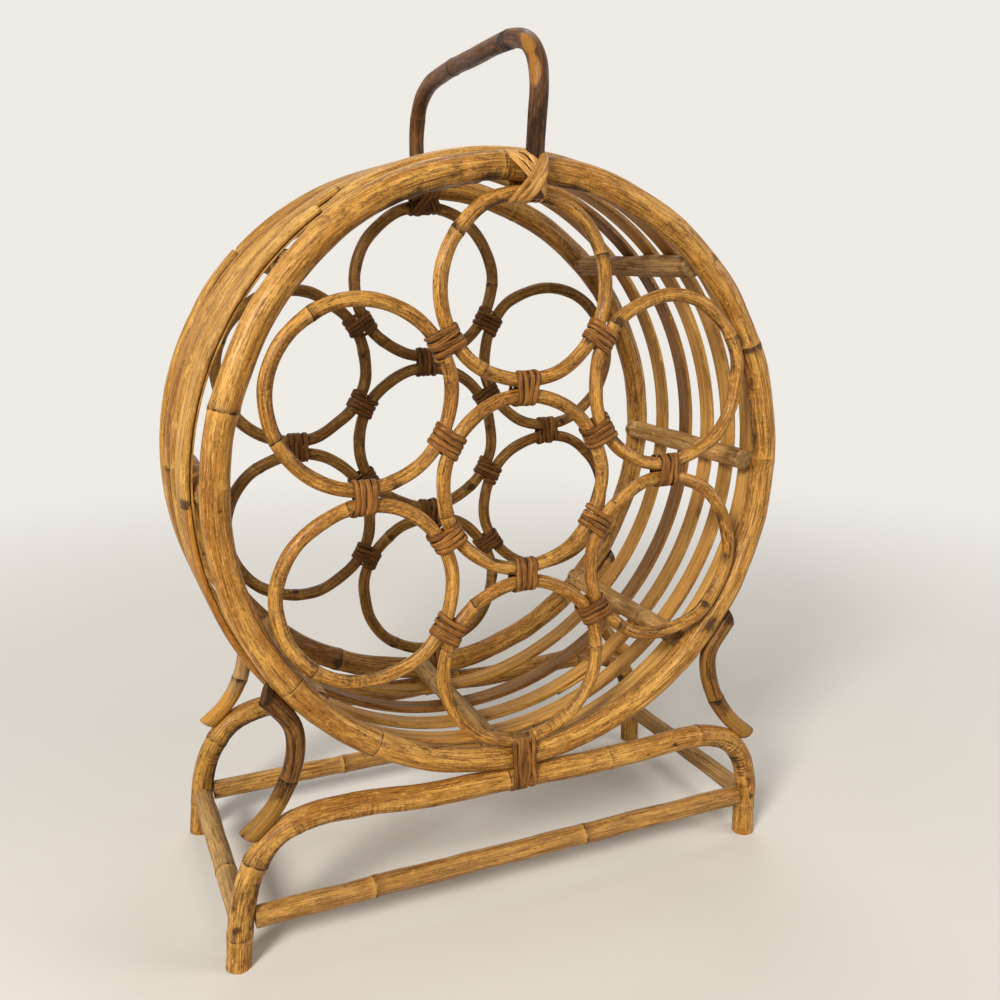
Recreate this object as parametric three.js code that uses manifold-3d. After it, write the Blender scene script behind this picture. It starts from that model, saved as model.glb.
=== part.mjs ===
// Wine bottle basket: a bent rattan drum on a low stand, for seven bottles lying down.
// Millimetres. X points right, Y points back and Z points up.
// The origin is on the ground, in the middle of the four feet.
import * as THREE from "three";
import { mergeVertices } from "three/addons/utils/BufferGeometryUtils.js";
import Module from "manifold-3d";

const wasm = await Module();
wasm.setup();

// Clearances
const seatGap = 0.3;
const rimGap = 0.8;
const windingGap = 0.35;

// Bottle rings: thin cane bent into circles, seven to each grille
const ringRadius = 50;
const caneRadius = 4;
const ringGap = 0.6;
const ringPlane = 81;
const ringSteps = 24;
const ringSides = 6;

// Hoops: the thick front and back rims of the drum
const hoopPoleRadius = 7.6;
const hoopPlane = 76.5;
const hoopSteps = 36;
const hoopSides = 8;

// Barrel: the struts and slats, whose axis lies a little off the hoops' axis, up and to the left
const barrelShift = 6;
const barrelShiftTurn = 305;

// Slats: split cane hoops laid round the outside of the struts
const slatWidth = 12;
const slatThickness = 5.5;
const slatPlaceShares = [0.71, 0.2, -0.245, -0.64, -1];
const slatWallShare = 0.55;
const slatShoulderShare = 0.42;

// Struts: straight canes that hold the two hoops apart, with their ends against the hoops' sides
const strutRadius = 6.7;
const strutInset = 3;
const strutSides = 12;
const strutTurns = [-6.5, 46, 91.5, 134.5, 224, 271, 315];

// Arches: the bent poles of the stand, whose ends are the feet
const archPoleRadius = 7.25;
const archCrownHeight = 79.85;
const footHalfSpan = 174.4;
const archSteps = 36;
const archSides = 8;
const footOverrun = 4;
const archOutlineShares = [
  [-1, 0],
  [-0.989, 0.26],
  [-0.972, 0.52],
  [-0.933, 0.76],
  [-0.856, 0.965],
  [-0.737, 1.058],
  [-0.57, 1.055],
  [-0.4, 1.025],
  [-0.24, 1.007],
  [-0.11, 1],
  [0, 1],
  [0.12, 0.995],
  [0.3, 0.985],
  [0.52, 1],
  [0.7, 1.015],
  [0.808, 0.988],
  [0.892, 0.917],
  [0.96, 0.755],
  [0.993, 0.52],
  [0.998, 0.26],
  [1, 0],
];

// Stretchers: straight poles low down between the feet
const stretcherRadius = 6.4;
const stretcherHeight = 28.7;
const stretcherSides = 12;

// Braces: thin bent canes from the hoops to the shoulders of the arches
const braceRadius = 5;
const braceSteps = 14;
const braceSides = 8;
const braceTopTurns = [124.5, 128.5, 132];
const braceFootShares = [
  { left: 0.187, right: 0.825 },
  { left: 0.16, right: 0.852 },
];
const braceBulge = { left: 5.5, right: 6.5 };
const braceGap = 0.8;
const braceFootGapShares = [2, 1];

// Handle: one bent cane, tied outside both hoops
const handleRadius = 5.05;
const handleCrownRise = 59.4;
const handleLegDrop = 23.6;
const handleKneeDrop = 3.6;
const handleSteps = 30;
const handleSides = 8;
const handleOutlineShares = [
  [-1, 0],
  [-1.03, 0.328],
  [-1.045, 0.565],
  [-1.01, 0.763],
  [-0.91, 0.914],
  [-0.74, 0.993],
  [-0.5, 1.007],
  [-0.02, 1],
  [0.43, 0.98],
  [0.74, 0.928],
  [0.94, 0.789],
  [1.025, 0.552],
  [1.04, 0.249],
  [1, 0],
];

// Lashings: split cane strips wound round the pieces that they tie
const ringStripWidth = 3;
const ringStripThickness = 1.2;
const ringStripPitch = 3.5;
const ringLashingTurns = 4;
const baseStripWidth = 2.6;
const baseStripPitch = 3.1;
const baseLashingTurns = 4;
const crossStripWidth = 2.4;
const crossStripPitch = 2.95;
const crossBandTurns = 3;
const crossTilt = 33;
const crossCornerCut = 2.5;
const crossSpareDrop = 0.8;
const crossLayerGap = 0.5;
const tuckDepth = 2.4;

// Sizes that follow from the ones above
const ringSpacing = 2 * (ringRadius + caneRadius) + ringGap;
const hoopRadius = ringSpacing + ringRadius + caneRadius + rimGap + hoopPoleRadius;
const drumHeight = archCrownHeight + archPoleRadius + seatGap + hoopPoleRadius + hoopRadius;
const drumTop = drumHeight + hoopRadius + hoopPoleRadius;
const handleFoot = drumTop - handleLegDrop;
const handleKnee = drumTop - handleKneeDrop;
const strutPlaceRadius = hoopRadius - strutInset;
const slatFlatRadius = strutPlaceRadius + strutRadius + seatGap;
const slatInnerRadius = slatFlatRadius / Math.cos(Math.PI / hoopSteps);
const hoopBack = hoopPlane - hoopPoleRadius;
const hoopFront = hoopPlane + hoopPoleRadius;
const rimFront = Math.max(ringPlane + caneRadius, hoopFront);
const rimBack = Math.min(ringPlane - caneRadius, hoopBack);
const handleLegPlane = rimFront + seatGap + handleRadius;
const lashingDepth = windingGap + 2 * ringStripThickness + crossLayerGap;
const slatReach = rimBack - lashingDepth - seatGap - slatWidth / 2;
const strutLength = 2 * (rimBack - seatGap);

// Steps of a lashing: it starts one corner before its first turn and ends in its last one
const loopCorners = 8;
const startStep = -1;
const topCorner = 2;
const endCorner = 3;
const behindCorner = 4;
const endStep = (turns) => (turns - 1) * loopCorners + endCorner;
const middleTurn = (turns) => (startStep + endStep(turns)) / 2 / loopCorners;
const turnsLong = (turns) => (endStep(turns) - startStep) / loopCorners;
const baseLashingHalf = (turnsLong(baseLashingTurns) * baseStripPitch + baseStripWidth) / 2;

// Names and sides
const ringTurns = [0, 60, 120, 180, 240, 300];
const ringPlaces = ["top", "upper_right", "lower_right", "bottom", "lower_left", "upper_left"];
const sides = [
  { name: "front", way: -1 },
  { name: "back", way: 1 },
];
const ends = [
  { name: "left", way: -1 },
  { name: "right", way: 1 },
];

// Colours and finishes of the real piece
const rattan = (colour, roughness) =>
  new THREE.MeshStandardMaterial({ color: colour, roughness, metalness: 0 });
const honeyPole = rattan(0xb07a35, 0.42);
const ringCane = rattan(0xa8742f, 0.42);
const slatCane = rattan(0x9a6a35, 0.5);
const greyCane = rattan(0x8a7355, 0.65);
const darkCane = rattan(0x6b4526, 0.5);
const redLashing = rattan(0x7a4a28, 0.55);
const strawLashing = rattan(0xb08a50, 0.6);

const group = new THREE.Group();

function addPiece(name, geometry, material) {
  const mesh = new THREE.Mesh(geometry, material);
  mesh.name = name;
  group.add(mesh);
  return mesh;
}

// Joining and cutting of closed solids
function toSolid(geometry) {
  const bare = geometry.clone();
  bare.deleteAttribute("normal");
  bare.deleteAttribute("uv");
  const merged = mergeVertices(bare);
  return new wasm.Manifold(
    new wasm.Mesh({
      numProp: 3,
      vertProperties: merged.attributes.position.array,
      triVerts: new Uint32Array(merged.index.array),
    }),
  );
}

function fromSolid(solid) {
  const { vertProperties, triVerts } = solid.getMesh();
  const geometry = new THREE.BufferGeometry();
  geometry.setAttribute("position", new THREE.BufferAttribute(vertProperties, 3));
  geometry.setIndex(new THREE.BufferAttribute(triVerts, 1));
  geometry.computeVertexNormals();
  return geometry;
}

// A point on a circle round an axis, by its turn in degrees clockwise from the top
function onCircle(axis, radius, turn, y) {
  const angle = THREE.MathUtils.degToRad(turn);
  return new THREE.Vector3(axis.x + radius * Math.sin(angle), y, axis.z + radius * Math.cos(angle));
}

const drumAxis = new THREE.Vector3(0, 0, drumHeight);
const barrelAxis = onCircle(drumAxis, barrelShift, barrelShiftTurn, 0);
const onDrum = (radius, turn, y) => onCircle(drumAxis, radius, turn, y);

// A round bar bent along a curve
function bentBar(curve, radius, steps, barSides) {
  const section = new THREE.Shape();
  for (let side = 0; side < barSides; side++) {
    const angle = (2 * Math.PI * side) / barSides;
    const corner = [radius * Math.cos(angle), radius * Math.sin(angle)];
    if (side === 0) section.moveTo(...corner);
    else section.lineTo(...corner);
  }
  section.closePath();
  return new THREE.ExtrudeGeometry(section, {
    steps,
    extrudePath: curve,
    bevelEnabled: false,
  });
}

function smoothCurve(points) {
  return new THREE.CatmullRomCurve3(points, false, "centripetal");
}

// A round bar bent into a closed circle that faces front and back
function bentCircle(radius, barRadius, barSides, steps) {
  return new THREE.TorusGeometry(radius, barRadius, barSides, steps).rotateX(Math.PI / 2);
}

// Hoops
for (const { name, way } of sides) {
  const geometry = bentCircle(hoopRadius, hoopPoleRadius, hoopSides, hoopSteps);
  geometry.translate(0, way * hoopPlane, drumHeight);
  addPiece(`${name}_hoop`, geometry, honeyPole);
}

// Slats, half round, with the flat side inwards
function slatGeometry() {
  const half = slatWidth / 2;
  const wall = slatWallShare * slatThickness;
  const profile = [
    [slatInnerRadius, -half],
    [slatInnerRadius + wall, -half],
    [slatInnerRadius + slatThickness, -slatShoulderShare * half],
    [slatInnerRadius + slatThickness, slatShoulderShare * half],
    [slatInnerRadius + wall, half],
    [slatInnerRadius, half],
    [slatInnerRadius, -half],
  ];
  const points = profile.map(([radius, along]) => new THREE.Vector2(radius, along));
  return new THREE.LatheGeometry(points, hoopSteps);
}

slatPlaceShares.forEach((share, index) => {
  const geometry = slatGeometry();
  geometry.translate(barrelAxis.x, share * slatReach, barrelAxis.z);
  addPiece(`slat_${index + 1}`, geometry, slatCane);
});

// Struts between the hoops. The lowest one lies just left of the base lashings.
const lowStrutPlace = baseLashingHalf + seatGap + strutRadius + barrelAxis.x;
const lowStrutAngle = Math.PI + Math.asin(lowStrutPlace / strutPlaceRadius);
const lowStrutTurn = THREE.MathUtils.radToDeg(lowStrutAngle);
const allStrutTurns = [...strutTurns.slice(0, 4), lowStrutTurn, ...strutTurns.slice(4)];

allStrutTurns.forEach((turn, index) => {
  const geometry = new THREE.CylinderGeometry(strutRadius, strutRadius, strutLength, strutSides);
  const strut = addPiece(`strut_${index + 1}`, geometry, greyCane);
  strut.position.copy(onCircle(barrelAxis, strutPlaceRadius, turn, 0));
  strut.rotation.y = THREE.MathUtils.degToRad(turn);
});

// The outline of both arches, as a curve in the plane of one of them
function archCurve(y) {
  const outline = archOutlineShares.map(
    ([across, up]) => new THREE.Vector3(across * footHalfSpan, y, up * archCrownHeight),
  );
  const start = outline[0].clone();
  const end = outline[outline.length - 1].clone();
  start.z -= footOverrun;
  end.z -= footOverrun;
  return smoothCurve([start, ...outline, end]);
}

// Where the leg of an arch stands at a height, and how far its surface is from there
function legAt(way, height) {
  const curve = archCurve(0);
  const parts = archSteps * archSteps;
  let best = { off: Infinity };
  for (let part = 0; part <= parts; part++) {
    const point = curve.getPointAt(part / parts);
    const off = Math.abs(point.z - height);
    if (point.x * way > footHalfSpan / 2 && off < best.off) {
      const upright = Math.abs(curve.getTangentAt(part / parts).z);
      best = { off, across: point.x, reach: archPoleRadius / upright };
    }
  }
  return best;
}

function aboveGround(geometry) {
  const reach = 2 * (footHalfSpan + hoopPlane);
  const below = new THREE.BoxGeometry(reach, reach, reach).translate(0, 0, -reach / 2);
  return fromSolid(toSolid(geometry).subtract(toSolid(below)));
}

for (const { name, way } of sides) {
  const bar = bentBar(archCurve(way * hoopPlane), archPoleRadius, archSteps, archSides);
  addPiece(`${name}_arch`, aboveGround(bar), honeyPole);
}

// Stretchers along the front and back, and along the two ends
const legInset = archPoleRadius + seatGap;

function stretcher(name, length, x, y, turn) {
  const geometry = new THREE.CylinderGeometry(
    stretcherRadius,
    stretcherRadius,
    length,
    stretcherSides,
  );
  const bar = addPiece(name, geometry, honeyPole);
  bar.position.set(x, y, stretcherHeight);
  bar.rotation.z = turn;
}

// The legs lean in as they rise, so a long stretcher is as long as its upper side allows.
const stretcherTop = stretcherHeight + stretcherRadius;
const leftTop = legAt(-1, stretcherTop);
const rightTop = legAt(1, stretcherTop);
const leftStop = leftTop.across + leftTop.reach + seatGap;
const rightStop = rightTop.across - rightTop.reach - seatGap;

for (const { name, way } of sides) {
  const length = rightStop - leftStop;
  const middle = (rightStop + leftStop) / 2;
  stretcher(`${name}_stretcher`, length, middle, way * hoopPlane, Math.PI / 2);
}
for (const { name, way } of ends) {
  const { across } = legAt(way, stretcherHeight);
  stretcher(`${name}_stretcher`, 2 * (hoopPlane - legInset), across, 0, 0);
}

// Braces, each bulging in towards the middle of the stand
function besideArch(curve, share, gap) {
  const point = curve.getPointAt(share);
  const along = curve.getTangentAt(share);
  const out = new THREE.Vector3(-along.z, 0, along.x);
  return point.addScaledVector(out, archPoleRadius + gap + braceRadius);
}

function braceCurve(end, y) {
  const arch = archCurve(y);
  const hoopReach = hoopRadius + hoopPoleRadius + braceGap + braceRadius;
  const top = braceTopTurns.map((turn) => onDrum(hoopReach, end.way * turn, y));
  const foot = braceFootShares.map((share, index) =>
    besideArch(arch, share[end.name], braceFootGapShares[index] * braceGap),
  );
  const bulged = [1 / 3, 2 / 3].map((share) => {
    const point = top[top.length - 1].clone().lerp(foot[0], share);
    point.x -= end.way * braceBulge[end.name];
    return point;
  });
  return smoothCurve([...top, ...bulged, ...foot]);
}

for (const side of sides) {
  for (const end of ends) {
    const curve = braceCurve(end, side.way * hoopPlane);
    const geometry = bentBar(curve, braceRadius, braceSteps, braceSides);
    addPiece(`${side.name}_${end.name}_brace`, geometry, darkCane);
  }
}

// Handle, whose legs are straight up to its knees
const handleRise = drumTop + handleCrownRise - handleKnee;
const handleBend = handleOutlineShares.map(
  ([back, up]) => new THREE.Vector3(0, back * handleLegPlane, handleKnee + up * handleRise),
);
const handleFeet = sides.map(({ way }) => new THREE.Vector3(0, way * handleLegPlane, handleFoot));
const handleCurve = smoothCurve([handleFeet[0], ...handleBend, handleFeet[1]]);
addPiece("handle", bentBar(handleCurve, handleRadius, handleSteps, handleSides), darkCane);

// A strip wound round a bundle, as one unbroken length with four-cornered section.
// The bundle is held by its middle, a direction along it and a half size each way.
// placeAt says, for a count of turns, the tilt, the shift sideways and the rise of the strip.
function loopCorner(winding, corner, out) {
  const long = winding.halfLong + out;
  const deep = winding.halfDeep + out;
  const cut = winding.cornerCut + out * (2 - Math.SQRT2);
  const corners = [
    [cut - long, -deep],
    [long - cut, -deep],
    [long, cut - deep],
    [long, deep - cut],
    [long - cut, deep],
    [cut - long, deep],
    [-long, deep - cut],
    [-long, cut - deep],
  ];
  return corners[(corner + corners.length) % corners.length];
}

function stripCorners(winding, step) {
  const turn = step / loopCorners;
  const { tilt, shift, rise } = winding.placeAt(turn);
  const angle = winding.angle + tilt;
  const long = new THREE.Vector3(Math.sin(angle), 0, Math.cos(angle));
  const wide = new THREE.Vector3(Math.cos(angle), 0, -Math.sin(angle));
  const advance = new THREE.Vector3(Math.cos(winding.angle), 0, -Math.sin(winding.angle));
  const deep = new THREE.Vector3(0, winding.way, 0);
  const lowered = step < 0 ? rise - winding.tuck : rise;
  const half = winding.thickness / 2;
  const places = [
    [-half, -1],
    [-half, 1],
    [half, 1],
    [half, -1],
  ];
  return places.map(([out, across]) => {
    const [v, w] = loopCorner(winding, step, lowered + out);
    return winding.middle
      .clone()
      .addScaledVector(long, v)
      .addScaledVector(deep, w)
      .addScaledVector(advance, shift / Math.cos(tilt))
      .addScaledVector(wide, (across * winding.width) / 2);
  });
}

// Corners of a strip's section
const stripSides = 4;

function windingGeometry(winding) {
  const rows = [];
  for (let step = startStep; step <= endStep(winding.turns); step++) {
    rows.push(stripCorners(winding, step));
  }
  const positions = rows.flat().flatMap((point) => point.toArray());
  const faces = [];
  const quad = (a, b, c, d) => faces.push(a, b, c, a, c, d);
  for (let row = 0; row + 1 < rows.length; row++) {
    for (let side = 0; side < stripSides; side++) {
      const here = stripSides * row + side;
      const next = stripSides * row + ((side + 1) % stripSides);
      quad(here, next, next + stripSides, here + stripSides);
    }
  }
  const endFace = (row) => rows[row].map((_, side) => stripSides * row + side);
  quad(...endFace(0).reverse());
  quad(...endFace(rows.length - 1));
  if (winding.way > 0) faces.reverse();
  const geometry = new THREE.BufferGeometry();
  geometry.setAttribute("position", new THREE.Float32BufferAttribute(positions, 3));
  geometry.setIndex(faces);
  geometry.computeVertexNormals();
  return geometry;
}

// Least distance between the surfaces of two turns of one winding, taken on points
const measuredParts = 6;
const measuredTurnsApart = 1 / 2;

function leastGap(winding) {
  const points = [];
  for (let step = startStep; step < endStep(winding.turns); step++) {
    const here = stripCorners(winding, step);
    const next = stripCorners(winding, step + 1);
    for (let part = 0; part < measuredParts; part++) {
      const share = part / measuredParts;
      for (let side = 0; side < stripSides; side++) {
        const following = (side + 1) % stripSides;
        for (let cross = 0; cross < measuredParts; cross++) {
          const a = here[side].clone().lerp(next[side], share);
          const b = here[following].clone().lerp(next[following], share);
          points.push({ turn: (step + share) / loopCorners, at: a.lerp(b, cross / measuredParts) });
        }
      }
    }
  }
  let least = Infinity;
  points.forEach((one, index) => {
    for (const other of points.slice(index)) {
      if (other.turn - one.turn > measuredTurnsApart) least = Math.min(least, one.at.distanceTo(other.at));
    }
  });
  return least;
}

// Lashings of the grilles, each round the canes of two rings where they touch
const ringLashingHalf = (turnsLong(ringLashingTurns) * ringStripPitch + ringStripWidth) / 2;
const ringSag = ringLashingHalf * Math.tan(Math.PI / ringSteps);
const ringStripReach = windingGap + ringStripThickness / 2;
const ringCornerCut = (2 - Math.SQRT2) * (caneRadius + ringStripReach);

function ringLashing(middle, angle, way, tuck) {
  return {
    middle,
    angle,
    way,
    tuck,
    turns: ringLashingTurns,
    width: ringStripWidth,
    thickness: ringStripThickness,
    halfLong: ringSpacing / 2 - ringRadius + caneRadius + ringSag + ringStripReach,
    halfDeep: caneRadius + ringStripReach,
    cornerCut: ringCornerCut,
    placeAt: (turn) => ({
      tilt: 0,
      shift: (turn - middleTurn(ringLashingTurns)) * ringStripPitch,
      rise: 0,
    }),
  };
}

const centre = (way) => onDrum(0, 0, way * ringPlane);
const ringCentre = (place, way) => onDrum(ringSpacing, ringTurns[place], way * ringPlane);
const nextPlace = (place) => (place + 1) % ringTurns.length;

// A lashing starts at its first ring, where a tucked end would be fixed
function betweenRings(first, second, way, tuck) {
  const middle = first.clone().lerp(second, 1 / 2);
  const line = second.clone().sub(first);
  return ringLashing(middle, Math.atan2(line.x, line.z), way, tuck);
}

function lashingsOf(place, way, tuck) {
  const first = ringCentre(place, way);
  return {
    centre: betweenRings(first, centre(way), way, tuck),
    rim: betweenRings(first, ringCentre(nextPlace(place), way), way, tuck),
  };
}

// The front lashings are pieces of their own. Each back one is fixed to a ring by its tucked end.
function addRings({ name, way }) {
  const circle = () => bentCircle(ringRadius, caneRadius, ringSides, ringSteps);
  const middle = circle().translate(0, way * ringPlane, drumHeight);
  addPiece(`${name}_ring_centre`, middle, ringCane);
  ringPlaces.forEach((placeName, place) => {
    const at = ringCentre(place, way);
    const ring = circle().translate(at.x, at.y, at.z);
    const lashings = lashingsOf(place, way, way > 0 ? tuckDepth : 0);
    if (way > 0) {
      const joined = toSolid(ring)
        .add(toSolid(windingGeometry(lashings.centre)))
        .add(toSolid(windingGeometry(lashings.rim)));
      addPiece(`${name}_ring_${placeName}`, fromSolid(joined), ringCane);
      return;
    }
    addPiece(`${name}_ring_${placeName}`, ring, ringCane);
    addPiece(`${name}_lashing_centre_${placeName}`, windingGeometry(lashings.centre), redLashing);
    addPiece(`${name}_lashing_rim_${placeName}`, windingGeometry(lashings.rim), redLashing);
  });
}

sides.forEach(addRings);

// Lashing of the lowest ring, the hoop and the arch
function baseLashing(way) {
  const poleRadius = Math.max(hoopPoleRadius, archPoleRadius);
  const front = Math.max(rimFront, hoopPlane + poleRadius);
  const back = Math.min(rimBack, hoopPlane - poleRadius);
  const low = archCrownHeight - archPoleRadius;
  const high = drumHeight - ringSpacing - ringRadius + caneRadius + ringSag;
  return {
    middle: new THREE.Vector3(0, (way * (front + back)) / 2, (low + high) / 2),
    angle: 0,
    way,
    tuck: 0,
    turns: baseLashingTurns,
    width: baseStripWidth,
    thickness: ringStripThickness,
    halfLong: (high - low) / 2 + ringStripReach,
    halfDeep: (front - back) / 2 + ringStripReach,
    cornerCut: ringCornerCut,
    placeAt: (turn) => ({
      tilt: 0,
      shift: (turn - middleTurn(baseLashingTurns)) * baseStripPitch,
      rise: 0,
    }),
  };
}

// Crossed lashing of the handle's leg, the hoop and the top ring: two bands, one over the other.
// The strip climbs to the upper band over the top and changes its slant behind the hoop.
function crossPlace(turn) {
  const lastTurn = crossBandTurns - 1;
  const corner = (turn - lastTurn) * loopCorners;
  const climb = THREE.MathUtils.clamp(corner - topCorner, 0, 1);
  const tiltChange = THREE.MathUtils.clamp(corner - behindCorner, 0, 1);
  const turnedBack = 2 * (lastTurn + (behindCorner + 1 / 2) / loopCorners) - turn;
  return {
    tilt: THREE.MathUtils.degToRad(crossTilt) * (1 - 2 * tiltChange),
    shift: (Math.min(turn, turnedBack) - lastTurn / 2) * crossStripPitch,
    rise: climb * (ringStripThickness + crossLayerGap),
  };
}

// The top ring falls away at both sides, so the loops reach as low as its cane does at their ends.
function crossLashing(way) {
  const slant = THREE.MathUtils.degToRad(crossTilt);
  const ringInside = ringRadius - caneRadius;
  const ringLow = drumHeight + ringSpacing + ringInside;
  const high = drumTop;
  const bandWidth = turnsLong(crossBandTurns) * crossStripPitch + crossStripWidth;
  const spread = ((high - ringLow) * Math.tan(slant) + bandWidth / Math.cos(slant)) / 2;
  const low = ringLow - ringInside + Math.sqrt(ringInside ** 2 - spread ** 2) - crossSpareDrop;
  const front = handleLegPlane + handleRadius;
  const edgeRise = (crossStripWidth / 2) * Math.sin(slant);
  return {
    middle: new THREE.Vector3(0, (way * (front + rimBack)) / 2, (low + high) / 2),
    angle: 0,
    way,
    tuck: 0,
    turns: 2 * crossBandTurns,
    width: crossStripWidth,
    thickness: ringStripThickness,
    halfLong: ((high - low) / 2 + ringStripReach + edgeRise) / Math.cos(slant),
    halfDeep: (front - rimBack) / 2 + ringStripReach,
    cornerCut: crossCornerCut,
    placeAt: crossPlace,
  };
}

for (const { name, way } of sides) {
  addPiece(`${name}_base_lashing`, windingGeometry(baseLashing(way)), redLashing);
  addPiece(`${name}_handle_lashing`, windingGeometry(crossLashing(way)), strawLashing);
}

const measured = {
  "grille lashing": lashingsOf(0, -1, 0).rim,
  "back grille lashing": lashingsOf(0, 1, tuckDepth).rim,
  "base lashing": baseLashing(-1),
  "handle lashing": crossLashing(-1),
};
for (const [name, winding] of Object.entries(measured)) {
  console.log(`${name}: least gap to itself ${leastGap(winding).toFixed(2)} mm`);
}

export default group;
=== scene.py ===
# Wine bottle basket: the looks of the bent rattan drum, its rings, lashings, handle and stand.
# Shapes are worked out in millimetres in the frame of the part and made in metres.
import math
from functools import reduce

import bpy
import numpy as np
from mathutils import Matrix, Vector
from mathutils.geometry import convex_hull_2d


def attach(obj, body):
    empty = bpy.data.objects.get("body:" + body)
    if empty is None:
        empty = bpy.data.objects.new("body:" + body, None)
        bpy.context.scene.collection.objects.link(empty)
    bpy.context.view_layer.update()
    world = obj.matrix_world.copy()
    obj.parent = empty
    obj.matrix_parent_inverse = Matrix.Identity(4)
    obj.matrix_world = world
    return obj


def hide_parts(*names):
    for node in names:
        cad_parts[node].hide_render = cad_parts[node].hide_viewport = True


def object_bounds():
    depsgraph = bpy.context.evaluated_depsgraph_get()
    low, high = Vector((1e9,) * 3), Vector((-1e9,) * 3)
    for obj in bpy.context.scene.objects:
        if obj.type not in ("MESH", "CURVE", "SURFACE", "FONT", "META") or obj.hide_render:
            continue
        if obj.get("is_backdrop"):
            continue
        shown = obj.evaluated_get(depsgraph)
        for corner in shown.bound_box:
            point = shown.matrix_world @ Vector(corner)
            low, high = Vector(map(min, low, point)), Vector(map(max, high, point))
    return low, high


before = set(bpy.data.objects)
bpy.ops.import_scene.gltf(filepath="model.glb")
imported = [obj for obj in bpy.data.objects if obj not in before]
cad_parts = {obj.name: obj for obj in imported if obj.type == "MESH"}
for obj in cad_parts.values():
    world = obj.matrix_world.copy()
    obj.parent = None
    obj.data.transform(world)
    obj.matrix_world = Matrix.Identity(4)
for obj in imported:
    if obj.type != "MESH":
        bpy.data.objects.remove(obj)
cad_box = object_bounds()

MM = 0.001
Y = (0, 1, 0)

# Sizes of the drum
RING_RADIUS = 50.0
CANE_RADIUS = 4.0
RING_SPACING = 108.6
RING_PLANE = 81.0
HOOP_RADIUS = 171.0
HOOP_POLE = 7.6
HOOP_PLANE = 76.5
DRUM_HEIGHT = 266.0
# The front hoop stands out a little at the upper left
FRONT_BULGE = 4.0
BULGE_TURN = 330
BULGE_HALF = 28
# The slats and struts lie round an axis a little off the hoops' axis
BARREL = (-4.915, 269.441)
SLAT_INSIDE = 175.1
SLAT_WIDTH = 12.0
SLAT_THICKNESS = 5.5
SLAT_REACH = 59.35
SLAT_SHARES = [0.71, 0.2, -0.245, -0.64, -1.0]
# The turn at which each slat starts, and how far it goes on over its start
SLAT_LAPS = [(306, 8), (262, 9), (150, 10), (322, 9), (196, 8)]
# The front slat carries a second strip
PATCHED = 5
STRUT_RADIUS = 6.7
STRUT_PLACE = 168.0
STRUT_HALF = 68.6
STRUT_TURNS = [-6.5, 46, 91.5, 134.5, 183, 224, 271, 315]

# Sizes of the stand
ARCH_POLE = 7.25
ARCH_CROWN = 79.85
FOOT_SPAN = 174.4
STRETCHER_RADIUS = 6.4
STRETCHER_HEIGHT = 28.7
BRACE_RADIUS = 5.0
BRACE_GAP = 0.8
BRACE_EXTRA = 0.3
BRACE_EASE = 6.0
BRACE_FOOT_GAPS = (1, 0.1)
ARCH_SHARES = [
    (-1, 0), (-0.989, 0.26), (-0.972, 0.52), (-0.933, 0.76), (-0.856, 0.965), (-0.737, 1.058),
    (-0.57, 1.055), (-0.4, 1.025), (-0.24, 1.007), (-0.11, 1), (0, 1), (0.12, 0.995), (0.3, 0.985),
    (0.52, 1), (0.7, 1.015), (0.808, 0.988), (0.892, 0.917), (0.96, 0.755), (0.993, 0.52),
    (0.998, 0.26), (1, 0),
]
BRACE_TOP_TURNS = [124.5, 128.5, 132]
BRACE_FEET = {"left": [0.187, 0.16], "right": [0.825, 0.852]}
BRACE_BULGE = {"left": 5.5, "right": 6.5}

# Sizes of the handle
HANDLE_RADIUS = 5.05
HANDLE_PLANE = 90.35
DRUM_TOP = 444.6
HANDLE_FOOT = DRUM_TOP - 23.6
HANDLE_KNEE = DRUM_TOP - 3.6
HANDLE_CROWN = DRUM_TOP + 59.4
HANDLE_SHARES = [
    (-1, 0), (-1.03, 0.328), (-1.045, 0.565), (-1.01, 0.763), (-0.91, 0.914), (-0.74, 0.993),
    (-0.5, 1.007), (-0.02, 1), (0.43, 0.98), (0.74, 0.928), (0.94, 0.789), (1.025, 0.552),
    (1.04, 0.249), (1, 0),
]

# The strips of the lashings: width and thickness, turns, and the step from turn to turn
RING_STRIP = (3.3, 1.6)
RING_STRIP_TURNS = 4.15
RING_STRIP_PITCH = 0.99 * RING_STRIP[0]
BASE_STRIP = (3.1, 1.4)
BASE_STRIP_TURNS = 4.7
BASE_STRIP_PITCH = 2.95
CROSS_STRIP = (3.3, 0.95)
CROSS_SLANT = 31.0
CROSS_BAND = 3
CROSS_PITCH = 2.65

# Rings, arches and straight poles are a hair thinner than the solids that they stand for
SHY = 0.05
# The straight poles of the stand end this far from its legs
POLE_END_GAP = 0.1
EDGE_ANGLE = math.radians(50)

RING_TURNS = [0, 60, 120, 180, 240, 300]
RING_PLACES = ["top", "upper_right", "lower_right", "bottom", "lower_left", "upper_left"]
SIDES = {"front": -1, "back": 1}
ENDS = {"left": -1, "right": 1}


# Curves
def unit(v):
    return v / np.maximum(np.linalg.norm(v, axis=-1, keepdims=True), 1e-12)


def lengths(points):
    """How far along the line of points each point lies."""
    steps = np.linalg.norm(np.diff(points, axis=0), axis=1)
    return np.concatenate([[0], np.cumsum(steps)])


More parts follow.
